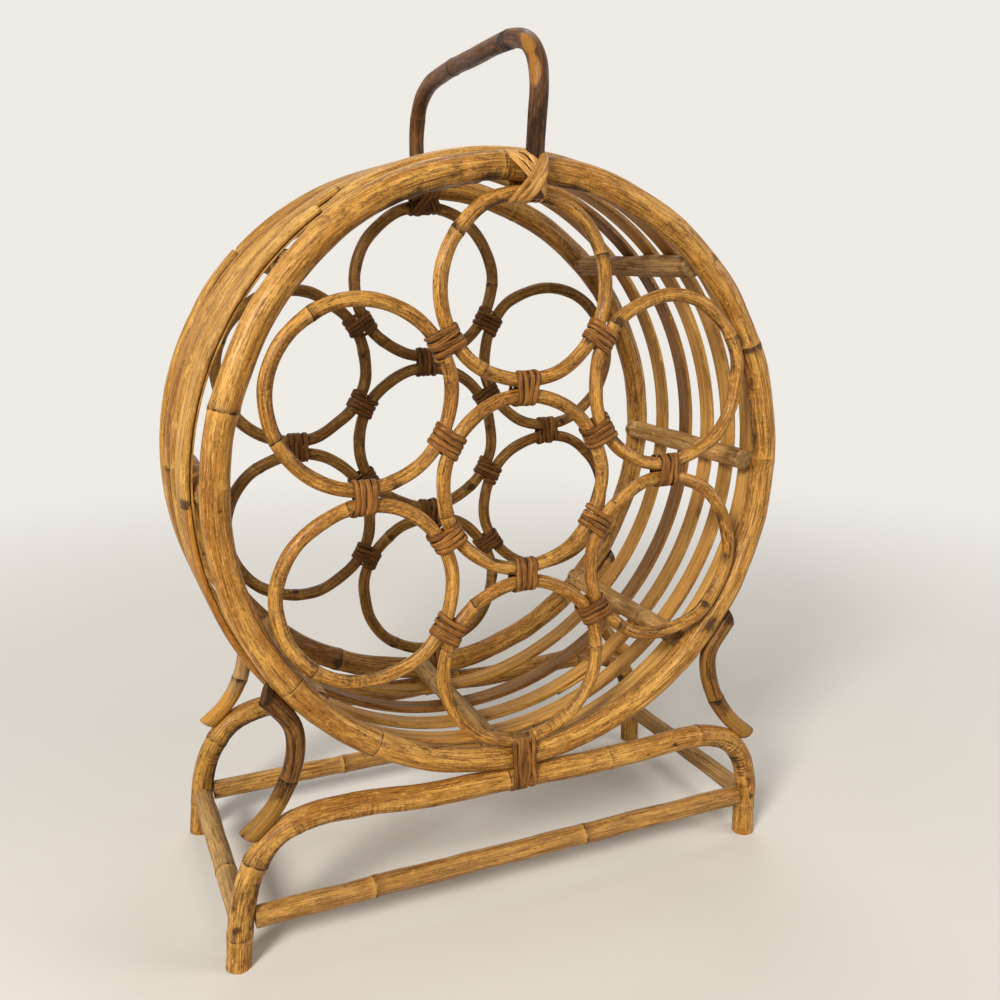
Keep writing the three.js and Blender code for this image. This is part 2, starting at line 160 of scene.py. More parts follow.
def smooth_curve(points):
    """A centripetal curve through the points, as many short steps."""
    parts = 40
    p = [np.array(q, float) for q in points]
    p = [2 * p[0] - p[1]] + p + [2 * p[-1] - p[-2]]
    out = []
    for a, b, c, d in zip(p, p[1:], p[2:], p[3:]):
        before, here, after = (math.sqrt(np.linalg.norm(y - x)) or 1 for x, y in ((a, b), (b, c), (c, d)))
        leave = ((b - a) / before - (c - a) / (before + here) + (c - b) / here) * here
        arrive = ((c - b) / here - (d - b) / (here + after) + (d - c) / after) * here
        for k in range(parts):
            t = k / parts
            out.append(
                b * (2 * t**3 - 3 * t**2 + 1) + leave * (t**3 - 2 * t**2 + t)
                + c * (3 * t**2 - 2 * t**3) + arrive * (t**3 - t**2)
            )
    out.append(p[-2])
    return np.array(out)


def blurred(rows, weights, **past_ends):
    half = len(weights) // 2
    longer = np.pad(rows, ((half, half), (0, 0)), **past_ends)
    return np.stack([np.convolve(column, weights, "valid") for column in longer.T], -1)


def softened(points, reach):
    """The curve with its bends eased over a reach, and its ends kept."""
    line = Line(points)
    at = np.linspace(0, line.length, 300)
    half = round(3 * reach / at[1])
    weights = np.exp(-((np.arange(-half, half + 1) * at[1] / reach) ** 2) / 2)
    return blurred(line.place(at), weights / weights.sum(), mode="reflect", reflect_type="odd")


def spoke(turns):
    """The direction out from a level axis, at a turn in degrees from the top."""
    a = np.radians(turns)
    return np.stack([np.sin(a), 0 * a, np.cos(a)], -1)


def on_drum(radius, turn, y, axis=(0.0, DRUM_HEIGHT)):
    return np.array([axis[0], y, axis[1]]) + radius * spoke(turn)


def circle(centre, radius, parts, bulge=0.0, bulge_turn=0.0, bulge_half=1.0):
    """A circle in an upright plane, which may stand out round one turn."""
    turns = np.linspace(0, 360, parts + 1)
    from_bulge = (turns - bulge_turn + 180) % 360 - 180
    reach = (radius + bulge * np.exp(-((from_bulge / bulge_half) ** 2)))[:, None]
    return np.array(centre) + reach * spoke(turns)


class Line:
    """A centre line that can be asked for its place and direction by length from its start."""

    def __init__(self, points, closed=False):
        self.points = np.array(points, float)
        self.closed = closed
        self.at = lengths(self.points)
        self.length = self.at[-1]

    def place(self, s):
        s = np.mod(s, self.length) if self.closed else s
        return np.stack([np.interp(s, self.at, self.points[:, k]) for k in range(3)], -1)

    def way(self, s):
        half = 0.6
        if self.closed:
            return unit(self.place(s + half) - self.place(s - half))
        low = np.clip(s - half, 0, self.length)
        return unit(self.place(np.clip(s + half, 0, self.length)) - self.place(low))

    def nearest(self, point):
        gap = np.linalg.norm(self.points - np.array(point), axis=1)
        return float(self.at[int(np.argmin(gap))])


class Waves:
    """A smooth random wave, whole over the length where the cane is closed."""

    def __init__(self, rng, length, closed, shortest, longest, count=5):
        fewest, most = max(1, round(length / longest)), max(2, round(length / shortest))
        whole = rng.integers(fewest, most + 1, count)
        loose = rng.uniform(length / longest, length / shortest, count)
        self.turns = (whole if closed else loose) * 2 * np.pi / length
        self.start = rng.uniform(0, 2 * np.pi, count)
        self.size = rng.uniform(0.5, 1, count)
        self.size /= self.size.sum()

    def __call__(self, s):
        s = np.asarray(s, float)[..., None]
        return (self.size * np.sin(self.turns * s + self.start)).sum(-1)


# Meshes
def put_in_scene(name, data):
    item = bpy.data.objects.new(name, data)
    bpy.context.scene.collection.objects.link(item)
    return item


def new_piece(name, verts, faces, corner_cane, marks, more, material):
    verts = np.array(verts)
    verts[:, 2] = np.maximum(verts[:, 2], 0)
    mesh = bpy.data.meshes.new(name)
    mesh.from_pydata((verts * MM).tolist(), [], faces)
    mesh.validate()
    corner = mesh.attributes.new("cane", "FLOAT_VECTOR", "CORNER")
    corner.data.foreach_set("vector", np.asarray(corner_cane, np.float32).ravel())
    for label, values in (("marks", marks), ("more", more)):
        layer = mesh.attributes.new(label, "FLOAT_VECTOR", "POINT")
        layer.data.foreach_set("vector", np.asarray(values, np.float32).ravel())
    mesh.shade_smooth()
    mesh.set_sharp_from_angle(angle=EDGE_ANGLE)
    mesh.materials.append(material)
    piece = put_in_scene(name, mesh)
    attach(piece, "root")
    return piece


def end_cap(rows, cane_at, shift, end, middle, way, steps, push):
    """The ever smaller rows of points that close an end, and its middle."""
    inner, inner_cane = [], []
    for share, step in steps:
        inner.append(middle + (rows[end] - middle) * share + way * step)
        coords = cane_at[end].copy()
        coords[:, 1:] = shift[1:] + (coords[:, 1:] - shift[1:]) * share
        inner_cane.append(coords)
    return end, inner, inner_cane, middle + way * push, np.array([cane_at[end][0][0], *shift[1:]])


# The corners of a face between two rows of points: which row, and how many steps round
BODY_FACE = ((0, 0), (0, 1), (1, 1), (1, 0))
CAP_FACE = ((0, 0), (1, 0), (1, 1), (0, 1))
TIP_FACE = ((0, 0), (1, 0), (0, 1))


def loft(name, rows, row_cane, marks, more, closed, material, caps):
    """Joins rows of points into a skin, with the caps that end_cap makes."""
    count, sides = rows.shape[:2]
    verts, mark_rows, more_rows = ([grid.reshape(-1, 3)] for grid in (rows, marks, more))
    faces, corners = [], []

    def add_points(points):
        """Points of a sawn end, and their numbers."""
        start = sum(len(group) for group in verts)
        verts.append(points)
        mark_rows.append(np.zeros_like(points))
        more_rows.append(np.tile([0, 1, 0], (len(points), 1)))
        return list(range(start, start + len(points)))

    def bridge(pair, canes, face):
        for k in range(sides):
            at = [(row, (k + step) % sides) for row, step in face]
            faces.append([pair[row][side] for row, side in at])
            corners.extend(canes[row][side] for row, side in at)

    numbers = np.arange(count * sides).reshape(count, sides).tolist()
    for i in range(count if closed else count - 1):
        bridge((numbers[i], numbers[(i + 1) % count]), row_cane[i:i + 2], BODY_FACE)
    for end, inner, inner_cane, centre, centre_cane in caps:
        order = -1 if end else 1
        previous, previous_cane = numbers[end], row_cane[end]
        for ring, ring_cane in zip(inner, inner_cane):
            here = add_points(ring)
            bridge((previous, here), (previous_cane, ring_cane), CAP_FACE[::order])
            previous, previous_cane = here, ring_cane
        tip = add_points(centre[None]) * sides
        bridge((previous, tip), (previous_cane, [centre_cane] * sides), TIP_FACE[::order])
    return new_piece(
        name, np.concatenate(verts), faces, corners,
        np.concatenate(mark_rows), np.concatenate(more_rows), material,
    )


KNOT_STEPS = np.array([-5, -3.4, -2.3, -1.6, -1.1, -0.7, -0.35, 0, 0.35, 0.7, 1.1, 1.6, 2.3, 3.4, 5])


def stations(line, knots, spacing):
    plain = np.linspace(0, line.length, max(8, round(line.length / spacing)) + 1)
    if line.closed:
        plain = plain[:-1]
    places = [s for s, *_ in knots]
    if places:
        far = np.array([abs(off(plain, s, line)) for s in places])
        plain = plain[far.min(0) > KNOT_STEPS[-1] + 0.6]
        close = np.concatenate([s + KNOT_STEPS for s in places])
        inside = (close > 1) & (close < line.length - 1)
        close = np.mod(close, line.length) if line.closed else close[inside]
        plain = np.concatenate([plain, close])
    plain = np.unique(np.round(plain, 3))
    if not line.closed:
        plain = np.unique(np.concatenate([[0], plain, [line.length]]))
    keep = np.concatenate([[True], np.diff(plain) > 0.2])
    return plain[keep]


def off(s, knot, line):
    """Signed length from a knot, the short way round where the cane is closed."""
    d = s - knot
    if line.closed:
        d = (d + line.length / 2) % line.length - line.length / 2
    return d


def pattern_start(rng):
    """Where in the endless pattern of the canes a piece lies."""
    return np.array([rng.uniform(0, 4000), rng.uniform(0, 400), rng.uniform(0, 400)])


def turn_from(theta, angle):
    """How far theta lies from an angle in degrees, the short way round."""
    return (theta - math.radians(angle) + np.pi) % (2 * np.pi) - np.pi


def cane(
    name, line, across, radius, material, seed, knots, burns_and_shade, wears=(), wrinkles=(), calm=(), sides=20,
    spacing=3.0, wobble=0.35, swell=0.05, slants=(0.0, 0.0), oval=0.015, fatness=0.03,
):
    """A round cane along a line in a plane. Knots are (length, strength); burns and painted shade, wears
    and wrinkles are (length, half length, angle or None, strength). It hardly strays at calm lengths."""
    rng = np.random.default_rng(seed)
    s = stations(line, knots, spacing)
    theta = np.linspace(2 * np.pi, 0, sides, endpoint=False)
    centre, way = line.place(s), line.way(s)
    flat = np.broadcast_to(unit(np.array(across, float)), way.shape)
    out = unit(np.cross(way, flat))
    flat = np.cross(out, way)
    sway = [Waves(rng, line.length, line.closed, 45, 260) for _ in range(2)]
    ease = 1.0
    if not line.closed:
        ease = np.clip(np.minimum(s, line.length - s) / 30, 0, 1)
    for place in calm:
        ease = np.minimum(ease, np.clip(np.abs(off(s, place, line)) / 20, 0.15, 1))
    for side, wave in zip((out, flat), sway):
        centre = centre + side * (wobble * wave(s) * ease)[:, None]
    fat = Waves(rng, line.length, line.closed, 18, 140, 7)
    twist = Waves(rng, line.length, line.closed, 60, 300)
    size = radius * (1 + fatness * fat(s))
    grid = np.repeat(size[:, None], sides, 1)
    grid = grid * (1 + oval * np.cos(2 * theta[None] + 3 * twist(s)[:, None]))
    grid = grid * (1 + 0.4 * oval * np.cos(5 * theta[None] + 4 * twist(s)[:, None] + 1.3))
    marks = np.zeros((len(s), sides, 3))
    more = np.zeros((len(s), sides, 3))
    for place, strength in knots:
        d = off(s, place, line)[:, None]
        for waves, low, high in ((1, 0.2, 0.7), (3, 0.1, 0.3)):
            skew = rng.uniform(low, high)
            d = d + skew * np.sin(waves * theta + rng.uniform(0, 2 * np.pi))
        bump = swell * np.exp(-((d / 2.6) ** 2)) - 0.6 * swell * np.exp(-((d / 0.45) ** 2))
        step = 0.35 * swell * np.tanh(d / 0.8) * np.exp(-np.abs(d) / 9)
        grid = grid * (1 + strength * (bump + step))
        marks[..., 0] = np.maximum(marks[..., 0], strength * np.exp(-((d / 0.5) ** 2)))
        more[..., 0] += strength * np.tanh(d / 0.6) * np.exp(-np.abs(d) / 3.5)
    # Column 1 takes burns and painted shade, column 2 worn places
    for group, column in ((burns_and_shade, 1), (wears, 2)):
        for place, half, angle, strength in group:
            d = off(s, place, line)[:, None] / half
            mask = np.exp(-(d**2)) * np.ones_like(theta)
            if angle is not None:
                mask = mask * np.exp(-((turn_from(theta, angle) / min(half / radius, 0.9)) ** 2))
            marks[..., column] = np.maximum(marks[..., column], strength * mask)
    for place, half, angle, strength in wrinkles:
        d = off(s, place, line)[:, None] / half
        mask = strength * np.exp(-(d**4)) * np.exp(-((turn_from(theta, angle) / 1.1) ** 2))
        more[..., 2] = np.maximum(more[..., 2], mask)
        ripple = Waves(rng, line.length, line.closed, 1.9, 3.4, 6)
        grid = grid * (1 + 0.03 * mask * ripple(s)[:, None])
    rows = centre[:, None] + grid[..., None] * (
        np.cos(theta)[None, :, None] * out[:, None] + np.sin(theta)[None, :, None] * flat[:, None]
    )
    shift = pattern_start(rng)
    along = np.concatenate([s, [line.length]]) if line.closed else s
    shape = np.concatenate([grid, grid[:1]]) if line.closed else grid
    cane_at = np.stack(
        [np.repeat(along[:, None], sides, 1), shape * np.cos(theta), shape * np.sin(theta)], -1
    ) + shift
    caps = []
    if not line.closed:
        for end, sign, slant in ((0, -1, slants[0]), (len(s) - 1, 1, slants[1])):
            lean = slant * grid[end] * np.cos(theta)
            rows[end] += sign * way[end] * lean[:, None]
            steps = ((0.93, 0.35), (0.6, 0.4), (0.3, 0.35))
            caps.append(end_cap(rows, cane_at, shift, end, centre[end], sign * way[end], steps, 0.3))
    return loft(name, rows, cane_at, marks, more, line.closed, material, caps)


def strip_profile(width, thickness, points=12):
    """A flat strip's section, rounded at its edges: across and out."""
    a = np.linspace(0, 2 * np.pi, points, endpoint=False) + np.pi / points
    c, s = np.cos(a), np.sin(a)
    across = width / 2 * np.sign(c) * np.abs(c) ** 0.65
    out = thickness / 2 * np.sign(s) * np.abs(s) ** 0.8
    out = np.where(out > 0, out * (1 - 0.35 * (across / (width / 2)) ** 2), out)
    return np.stack([across, out], -1)


def edge_burns(profile, base, strength):
    """Burns along a strip, deeper at its edges."""
    edge = np.clip((np.abs(profile[:, 0]) / profile[:, 0].max() - 0.6) / 0.4, 0, 1)
    return base[:, None] + strength * edge[None]


def strip(name, places, outs, profile, material, seed, burns_and_shade, scales, wears=0.0):
    """A strip along places, with its outer side towards outs."""
    rng = np.random.default_rng(seed)
    places, outs = np.array(places), unit(np.array(outs))
    way = unit(np.gradient(places, axis=0))
    wide = unit(np.cross(way, outs))
    outs = unit(np.cross(wide, way))
    s = lengths(places)
    sides = len(profile)
    section = profile[None] * scales[:, None]
    rows = places[:, None] + section[..., :1] * wide[:, None] + section[..., 1:] * outs[:, None]
    marks = np.zeros((len(s), sides, 3))
    marks[..., 1] = burns_and_shade
    marks[..., 2] = wears
    more = np.zeros((len(s), sides, 3))
    shift = pattern_start(rng)
    cane_at = np.concatenate([np.broadcast_to(s[:, None, None], (len(s), sides, 1)), section], -1) + shift
    caps = []
    for end, sign in ((0, -1), (len(s) - 1, 1)):
        middle = rows[end].mean(0)
        caps.append(end_cap(rows, cane_at, shift, end, middle, sign * way[end], ((0.8, 0.15),), 0.15))
    return loft(name, rows, cane_at, marks, more, False, material, caps)


# Materials
class Nodes:
    """Short calls that make and join the shader nodes of a material or a world."""

    def __init__(self, owner):
        owner.use_nodes = True
        self.tree = owner.node_tree
        self.tree.nodes.clear()

    def add(self, kind, inputs=(), **settings):
        """A node with its settings, and its inputs as pairs of a label or number and a source."""
        node = self.tree.nodes.new(kind)
        for key, value in settings.items():
            setattr(node, key, value)
        for label, source in dict(inputs).items():
            self.join(source, node.inputs[label])
        return node

    def join(self, source, socket):
        if isinstance(source, (int, float)):
            socket.default_value = source
        elif isinstance(source, tuple):
            full = len(source) == len(socket.default_value)
            socket.default_value = source if full else (*source, 1)
        else:
            self.tree.links.new(source, socket)

    def attribute(self, name):
        return self.add("ShaderNodeAttribute", attribute_name=name).outputs["Vector"]

    def parts(self, vector):
        return self.add("ShaderNodeSeparateXYZ", {0: vector}).outputs[:3]

    def math(self, operation, a, b, clamp=False):
        inputs = {0: a, 1: b}
        return self.add("ShaderNodeMath", inputs, operation=operation, use_clamp=clamp).outputs[0]

    def product(self, *factors):
        return reduce(lambda a, b: self.math("MULTIPLY", a, b), factors)

    def total(self, *values):
        return reduce(lambda a, b: self.math("ADD", a, b), values)

    def stretch(self, vector, x, y, z):
        inputs = {0: vector, 1: (x, y, z)}
        return self.add("ShaderNodeVectorMath", inputs, operation="MULTIPLY").outputs[0]

    def noise(self, vector, detail, roughness, distortion=0.0):
        shape = {"Scale": 1, "Detail": detail, "Roughness": roughness, "Distortion": distortion}
        return self.add("ShaderNodeTexNoise", {"Vector": vector, **shape}).outputs["Fac"]

    def ease(self, value, low, high, out_low=0.0, out_high=1.0):
        limits = {"From Min": low, "From Max": high, "To Min": out_low, "To Max": out_high}
        node = self.add("ShaderNodeMapRange", {"Value": value, **limits}, interpolation_type="SMOOTHSTEP")
        return node.outputs["Result"]

    def mix(self, factor, a, b):
        return self.add("ShaderNodeMix", {0: factor, 6: a, 7: b}, data_type="RGBA").outputs[2]

    def blend(self, factor, first, second):
        return self.add("ShaderNodeMixShader", {0: factor, 1: first, 2: second}).outputs[0]


def srgb(text):
    """The linear colour of a written one."""
    parts = [int(text[k:k + 2], 16) / 255 for k in (0, 2, 4)]
    return tuple(c / 12.92 if c <= 0.04045 else ((c + 0.055) / 1.055) ** 2.4 for c in parts)


def cane_material(
    name, light, mid, dark, burn_and_shade_tone="24120a", wear="c98f3e", cut="b08e5c", streak=0.7, speck=0.8,
    stain=0.6, roughness=0.38, coat=0.06, shine=0.22, craze=0.15, grey=0.0, grey_tone="b08c58",
    lining=0.0, mottle=0.28,
):
    """Varnished or weathered rattan, in the coordinates of the straight cane in millimetres."""
    material = bpy.data.materials.new(name)
    n = Nodes(material)
    at = n.attribute("cane")
    line, burnt_and_shaded, worn = n.parts(n.attribute("marks"))
    lean, end, wrinkled = n.parts(n.attribute("more"))
    light, mid, dark, burn_and_shade_tone, wear, cut = (srgb(c) for c in (light, mid, dark, burn_and_shade_tone, wear, cut))
    times = n.product

    def shade(colour, k):
        return tuple(min(1, c * k) for c in colour)

    def tint(colour, *shares):
        return tuple(c * k for c, k in zip(colour, shares))

    def field(along, across, detail, roughness, distortion=0.0):
        return n.noise(n.stretch(at, along, across, across), detail, roughness, distortion)

    # Tones: long bands, then brown fibres and pale ones
    long = field(0.014, 0.3, 4, 0.62, 0.2)
    thin = field(0.024, 0.8, 4, 0.65)
    fine = field(0.07, 1.9, 3, 0.7)
    broad = field(0.014, 0.07, 3, 0.55)
    blotch = field(0.1, 0.26, 4, 0.68, 0.3)
    grain = field(0.5, 1.1, 3, 0.7)
    colour = n.mix(n.ease(long, 0.42, 0.58), mid, light)

    def paint(factor, over):
        nonlocal colour
        colour = n.mix(factor, colour, over)

    paint(n.ease(broad, 0.46, 0.64, 0, 0.75), tint(mid, 0.8, 0.68, 0.5))
    paint(times(n.ease(thin, 0.5, 0.62), streak), dark)
    paint(n.ease(fine, 0.5, 0.68, 0, 0.62), dark)
    paint(n.ease(fine, 0.47, 0.34, 0, 0.45), shade(light, 1.35))
    paint(times(n.ease(blotch, 0.53, 0.66), stain), tint(mid, 0.5, 0.4, 0.3))
    paint(n.ease(blotch, 0.44, 0.34, 0, 0.45), shade(light, 1.3))
    paint(times(n.ease(grain, 0.52, 0.66), mottle), shade(dark, 0.7))
    paint(times(n.ease(grain, 0.46, 0.34), 0.8 * mottle), shade(light, 1.5))
    # Small dark dashes in patches, and pale cracks across
    spots = n.ease(field(0.3, 1.05, 2, 0.55), 0.62, 0.7)
    patch = n.ease(field(0.028, 0.12, 2, 0.5), 0.4, 0.58)
    paint(times(spots, patch, speck), shade(dark, 0.45))
    ticks = n.ease(field(1.6, 0.5, 3, 0.6, 0.8), 0.56, 0.7)
    ticked = n.ease(field(0.035, 0.2, 1, 0.5), 0.48, 0.64)
    paint(times(ticks, ticked, craze), tuple(min(1, c * 1.5 + 0.04) for c in light))
    if grey:
        cracks = n.ease(field(0.02, 0.9, 3, 0.6, 0.4), 0.56, 0.62)
        faded_tone = srgb(grey_tone)
        tone = n.mix(n.ease(thin, 0.4, 0.62), shade(faded_tone, 1.15), shade(faded_tone, 0.62))
        faded = n.ease(n.total(broad, times(long, 0.3)), 0.5, 0.78, 0.25 * grey, grey)
        paint(faded, tone)
        paint(times(cracks, 0.75 * grey), shade(dark, 0.45))
    # Folds inside the bends, burns and painted shade in one burnt tone, and worn places
    bends = field(0.6, 0.1, 2, 0.5, 0.6)
    ridge = times(n.ease(bends, 0.46, 0.58), wrinkled)
    paint(times(ridge, 0.8), shade(dark, 0.5))
    paint(times(n.ease(bends, 0.48, 0.38), wrinkled, 0.5), shade(light, 1.15))
    ragged = n.math("SUBTRACT", blotch, 0.5)
    scorch_and_shade = n.ease(n.total(burnt_and_shaded, times(ragged, 1.3)), 0.2, 0.75)
    scorch_and_shade = times(scorch_and_shade, n.ease(burnt_and_shaded, 0.02, 0.25))
    paint(times(scorch_and_shade, 0.85), burn_and_shade_tone)
    if lining:
        inside = n.mix(n.ease(long, 0.38, 0.62), shade(wear, 0.72), shade(wear, 1.12))
        paint(times(worn, lining), inside)
    else:
        bare = n.ease(n.total(worn, times(ragged, 0.9)), 0.38, 0.6)
        bare = times(bare, n.ease(worn, 0.05, 0.3))
        fresh = n.mix(n.ease(thin, 0.45, 0.62, 0, 0.7), wear, shade(wear, 0.5))
        fresh = n.mix(n.ease(grain, 0.5, 0.7, 0, 0.6), fresh, shade(wear, 0.4))
        paint(bare, fresh)
    # Joints of the cane: dark on one side, pale on the other, with a broken groove between
    paint(n.ease(lean, 0.05, 0.9, 0, 0.5), shade(dark, 0.8))
    paint(n.ease(lean, -0.05, -0.8, 0, 0.45), shade(light, 1.15))
    broken = n.ease(field(0.3, 0.4, 2, 0.5), 0.4, 0.58, 0.1, 1)
    groove = times(n.ease(line, 0.15, 0.75), broken)
    paint(times(groove, 0.92), shade(dark, 0.3))
    # Sawn ends
    pores = n.ease(field(0.5, 2.4, 2, 0.6), 0.5, 0.62)
    rind = n.ease(field(0.5, 0.5, 2, 0.5), 0.4, 0.6, 0, 0.4)
    sawn = n.mix(times(pores, 0.7), cut, shade(cut, 0.3))
    sawn = n.mix(rind, sawn, shade(dark, 0.9))
    paint(n.ease(end, 0.3, 0.9), sawn)
    gloss = n.ease(blotch, 0.35, 0.65, roughness - 0.08, roughness + 0.14)
    gloss = n.total(gloss, times(scorch_and_shade, 0.12))
    gloss = n.math("ADD", gloss, n.ease(end, 0.3, 0.9, 0, 0.3), clamp=True)
    height = n.total(times(thin, 0.9), times(fine, 0.5), times(blotch, 0.8))
    for lower in (times(ridge, 0.9), groove, times(spots, 0.3)):
        height = n.math("SUBTRACT", height, lower)
    bump = n.add("ShaderNodeBump", {"Strength": 0.7, "Distance": 0.0006, "Height": height})
    shader = n.add("ShaderNodeBsdfPrincipled", {
        "Base Color": colour, "Roughness": gloss, "Specular IOR Level": shine, "Coat Weight": coat,
        "Coat Roughness": 0.25, "Normal": bump.outputs[0],
    })
    n.add("ShaderNodeOutputMaterial", {"Surface": shader.outputs[0]})
    return material


HONEY = cane_material("honey_pole", "d8a352", "ae7830", "553212", coat=0.06)
GOLD = cane_material("gold_ring", "d29c4c", "a26e28", "42240b", coat=0.1, craze=0.3, speck=1.0, mottle=0.4)
BROWN = cane_material("brown_ring", "a57a38", "7c5520", "301b08", roughness=0.44, coat=0.04)
DUSKY = cane_material("dusky_pole", "c49242", "9a682b", "3c220b", coat=0.06, speck=0.9, mottle=0.4)
GREY = cane_material(
    "grey_strut", "c89e66", "a07842", "432a10", streak=0.8, speck=0.3, stain=0.4,
    roughness=0.55, coat=0.0, shine=0.2, craze=0.05, grey=0.7,
)
TAN = cane_material(
    "tan_strut", "e0b270", "bb8c4a", "5c3a14", streak=0.6, speck=0.4, stain=0.35,
    roughness=0.5, coat=0.0, shine=0.22, craze=0.05, grey=0.2,
)
HALF_HONEY = cane_material("half_faded_pole", "d09c4c", "a87430", "563010", grey=0.35)
PALE = cane_material(
    "pale_pole", "d4a866", "b48a50", "5a3814", roughness=0.5, coat=0.0, shine=0.22, grey=0.5,
    grey_tone="a88a5c",
)
BRACE_FINISH = {
    "cut": "5c3c1c", "streak": 0.8, "speck": 1.0, "roughness": 0.44, "coat": 0.03, "shine": 0.14,
}
UMBER = cane_material("umber_brace", "845a2a", "563515", "1e1006", wear="a07434", **BRACE_FINISH)
BARK = cane_material("bark_brace", "986a34", "6e4a22", "2a1707", wear="a87a3a", **BRACE_FINISH)
HANDLE = cane_material(
    "handle_cane", "74481f", "4a2a10", "1e0f05", burn_and_shade_tone="1a0b04", wear="a06c2a", streak=0.65,
    speck=0.3, coat=0.05, shine=0.16, craze=0.05, grey=0.2, grey_tone="84623a",
)
SLAT_TONES = [
    ("d6a346", "ae7a2d", "502a0c", "bc8a46"),
    ("c28c3e", "966228", "422408", "865f36"),
    ("dca954", "b48234", "54320f", "d09a4e"),
    ("dca956", "b27e34", "50300f", "c99448"),
    ("e0b060", "b6843a", "5a3614", "d4a052"),
]
SLATS = [
    cane_material(
        f"slat_{k}", light, mid, dark, wear=inner, streak=0.5, speck=0.4, stain=0.3,
        roughness=0.4, craze=0.04, lining=0.75,
    )
    for k, (light, mid, dark, inner) in enumerate(SLAT_TONES, 1)
]
ORANGE = cane_material(
    "fresh_cane", "c48a36", "9c6420", "52290a", streak=0.6, speck=0.3, stain=0.2, coat=0.05,
)
RED = cane_material(
    "red_strip", "a87032", "7a4e20", "2a1605", streak=0.45, speck=0.4, stain=0.5,
    roughness=0.4, coat=0.05, shine=0.18, craze=0.0, mottle=0.15,
)
DARK_RED = cane_material(
    "dark_red_strip", "835724", "5a3812", "1e1003", streak=0.5, speck=0.3, stain=0.5,
    roughness=0.5, coat=0.0, shine=0.2, craze=0.0, mottle=0.15,
)
STRAW = cane_material(
    "straw_strip", "dcaa62", "bd8842", "6e4520", burn_and_shade_tone="4a2c12", streak=0.55, speck=0.15, stain=0.35,
    roughness=0.46, coat=0.04, craze=0.0, mottle=0.3,
)
DARK_STRAW = cane_material(
    "dark_straw_strip", "94683a", "6e4a26", "2c1808", streak=0.55, speck=0.2, stain=0.5,
    roughness=0.5, coat=0.0, craze=0.0,
)


def stand_for(node):
    if node:
        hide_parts(node)


# Hoops: thick poles, with the marks that show in the photograph at their own turns
def turned(line, turns):
    """Marks given by turn in degrees from the top, as marks by length."""
    return [(line.length * (t % 360) / 360, *rest) for t, *rest in turns]


def add_hoop(side, material, bulge, knots, burns_and_shade, wrinkles, seed):
    centre = (0, SIDES[side] * HOOP_PLANE, DRUM_HEIGHT)
    line = Line(circle(centre, HOOP_RADIUS, 720, bulge, BULGE_TURN, BULGE_HALF), True)
    piece = cane(
        f"{side}_hoop_pole", line, Y, HOOP_POLE, material, seed, turned(line, knots), sides=32,
        spacing=2.6, wobble=0.6, burns_and_shade=turned(line, burns_and_shade), wrinkles=turned(line, wrinkles),
    )
    stand_for(f"{side}_hoop")


add_hoop(
    "front", HONEY, FRONT_BULGE,
    [
        (44.4, 0.5), (64.4, 1.0), (89.6, 0.6), (134.9, 0.5), (211.5, 0.8), (225.2, 0.4), (232.8, 0.6),
        (269.4, 0.25), (286.1, 1.0), (355.8, 0.7),
    ],
    # Burns and painted shade: the long soft marks at angles 180 to 225, on the side towards the hoop's
    # middle, are partly painted shade and partly stain; the wide all-round marks at turns 326 to 25 make
    # the hoop darker over its top
    [
        (64.6, 3.5, 240, 1.2), (65, 3, 300, 1.0), (63.5, 8, 215, 0.6), (128, 8, 250, 0.7),
        (128, 3, 280, 0.7), (269.4, 1.2, 262, 0.9), (303, 1.5, 290, 0.9), (232, 1.7, 285, 0.9),
        (211, 2.4, 250, 1.0), (353, 10, 210, 0.9), (336, 40, 195, 0.7), (345, 26, 225, 0.45),
        (10, 12, 200, 0.6), (150, 20, 200, 0.4), (200, 30, 200, 0.4), (286.1, 2.4, 235, 0.9),
        (44, 3, 300, 0.8), (296, 1.5, 250, 0.7), (318, 1.3, 265, 0.8), (348, 65, None, 0.3),
        (25, 80, None, 0.22), (315, 40, 190, 0.4), (180, 110, None, 0.18), (85, 60, 180, 0.5),
        (326, 75, None, 0.26),
    ],
    [(355, 12, 215, 0.45), (30, 30, 220, 0.25), (340, 20, 200, 0.35), (75, 30, 200, 0.2)], 11,
)
add_hoop(
    "back", DUSKY, 0.0,
    [
        (22, 0.7), (62, 0.9), (98, 0.6), (141, 0.8), (172, 0.6), (205, 0.9), (248, 0.7), (291, 0.6),
        (334, 0.8),
    ],
    # The long soft marks at angles 220 to 260, on the side towards the inside of the drum, are partly
    # painted shade and partly stain
    [
        (205, 7, 270, 0.8), (62, 6, 250, 0.8), (334, 10, 230, 0.8), (120, 18, 240, 0.5),
        (262, 16, 220, 0.5), (45, 24, 260, 0.45), (85, 18, 250, 0.4),
    ],
    [(40, 50, 250, 0.25), (100, 40, 230, 0.2)], 12,
)


# Slats: half round strips whose ends lie over each other
def slat_profile():
    half, high = SLAT_WIDTH / 2, SLAT_THICKNESS
    shape = [
        (-half + 0.3, 0), (-half, 0.4), (-half, 0.42 * high), (-0.82 * half, 0.74 * high),
        (-0.5 * half, 0.93 * high), (0, high), (0.5 * half, 0.93 * high), (0.82 * half, 0.74 * high),
        (half, 0.42 * high), (half, 0.4), (half - 0.3, 0), (0.45 * half, 0.05), (0, 0.08),
        (-0.45 * half, 0.05),
    ]
    edge = [0.7, 0.5, 0, 0, 0, 0, 0, 0, 0, 0.5, 0.7, 0, 0, 0]
    inner = [1, 0.3, 0, 0, 0, 0, 0, 0, 0, 0.3, 1, 1, 1, 1]
    return np.array(shape), np.array(edge), np.array(inner)


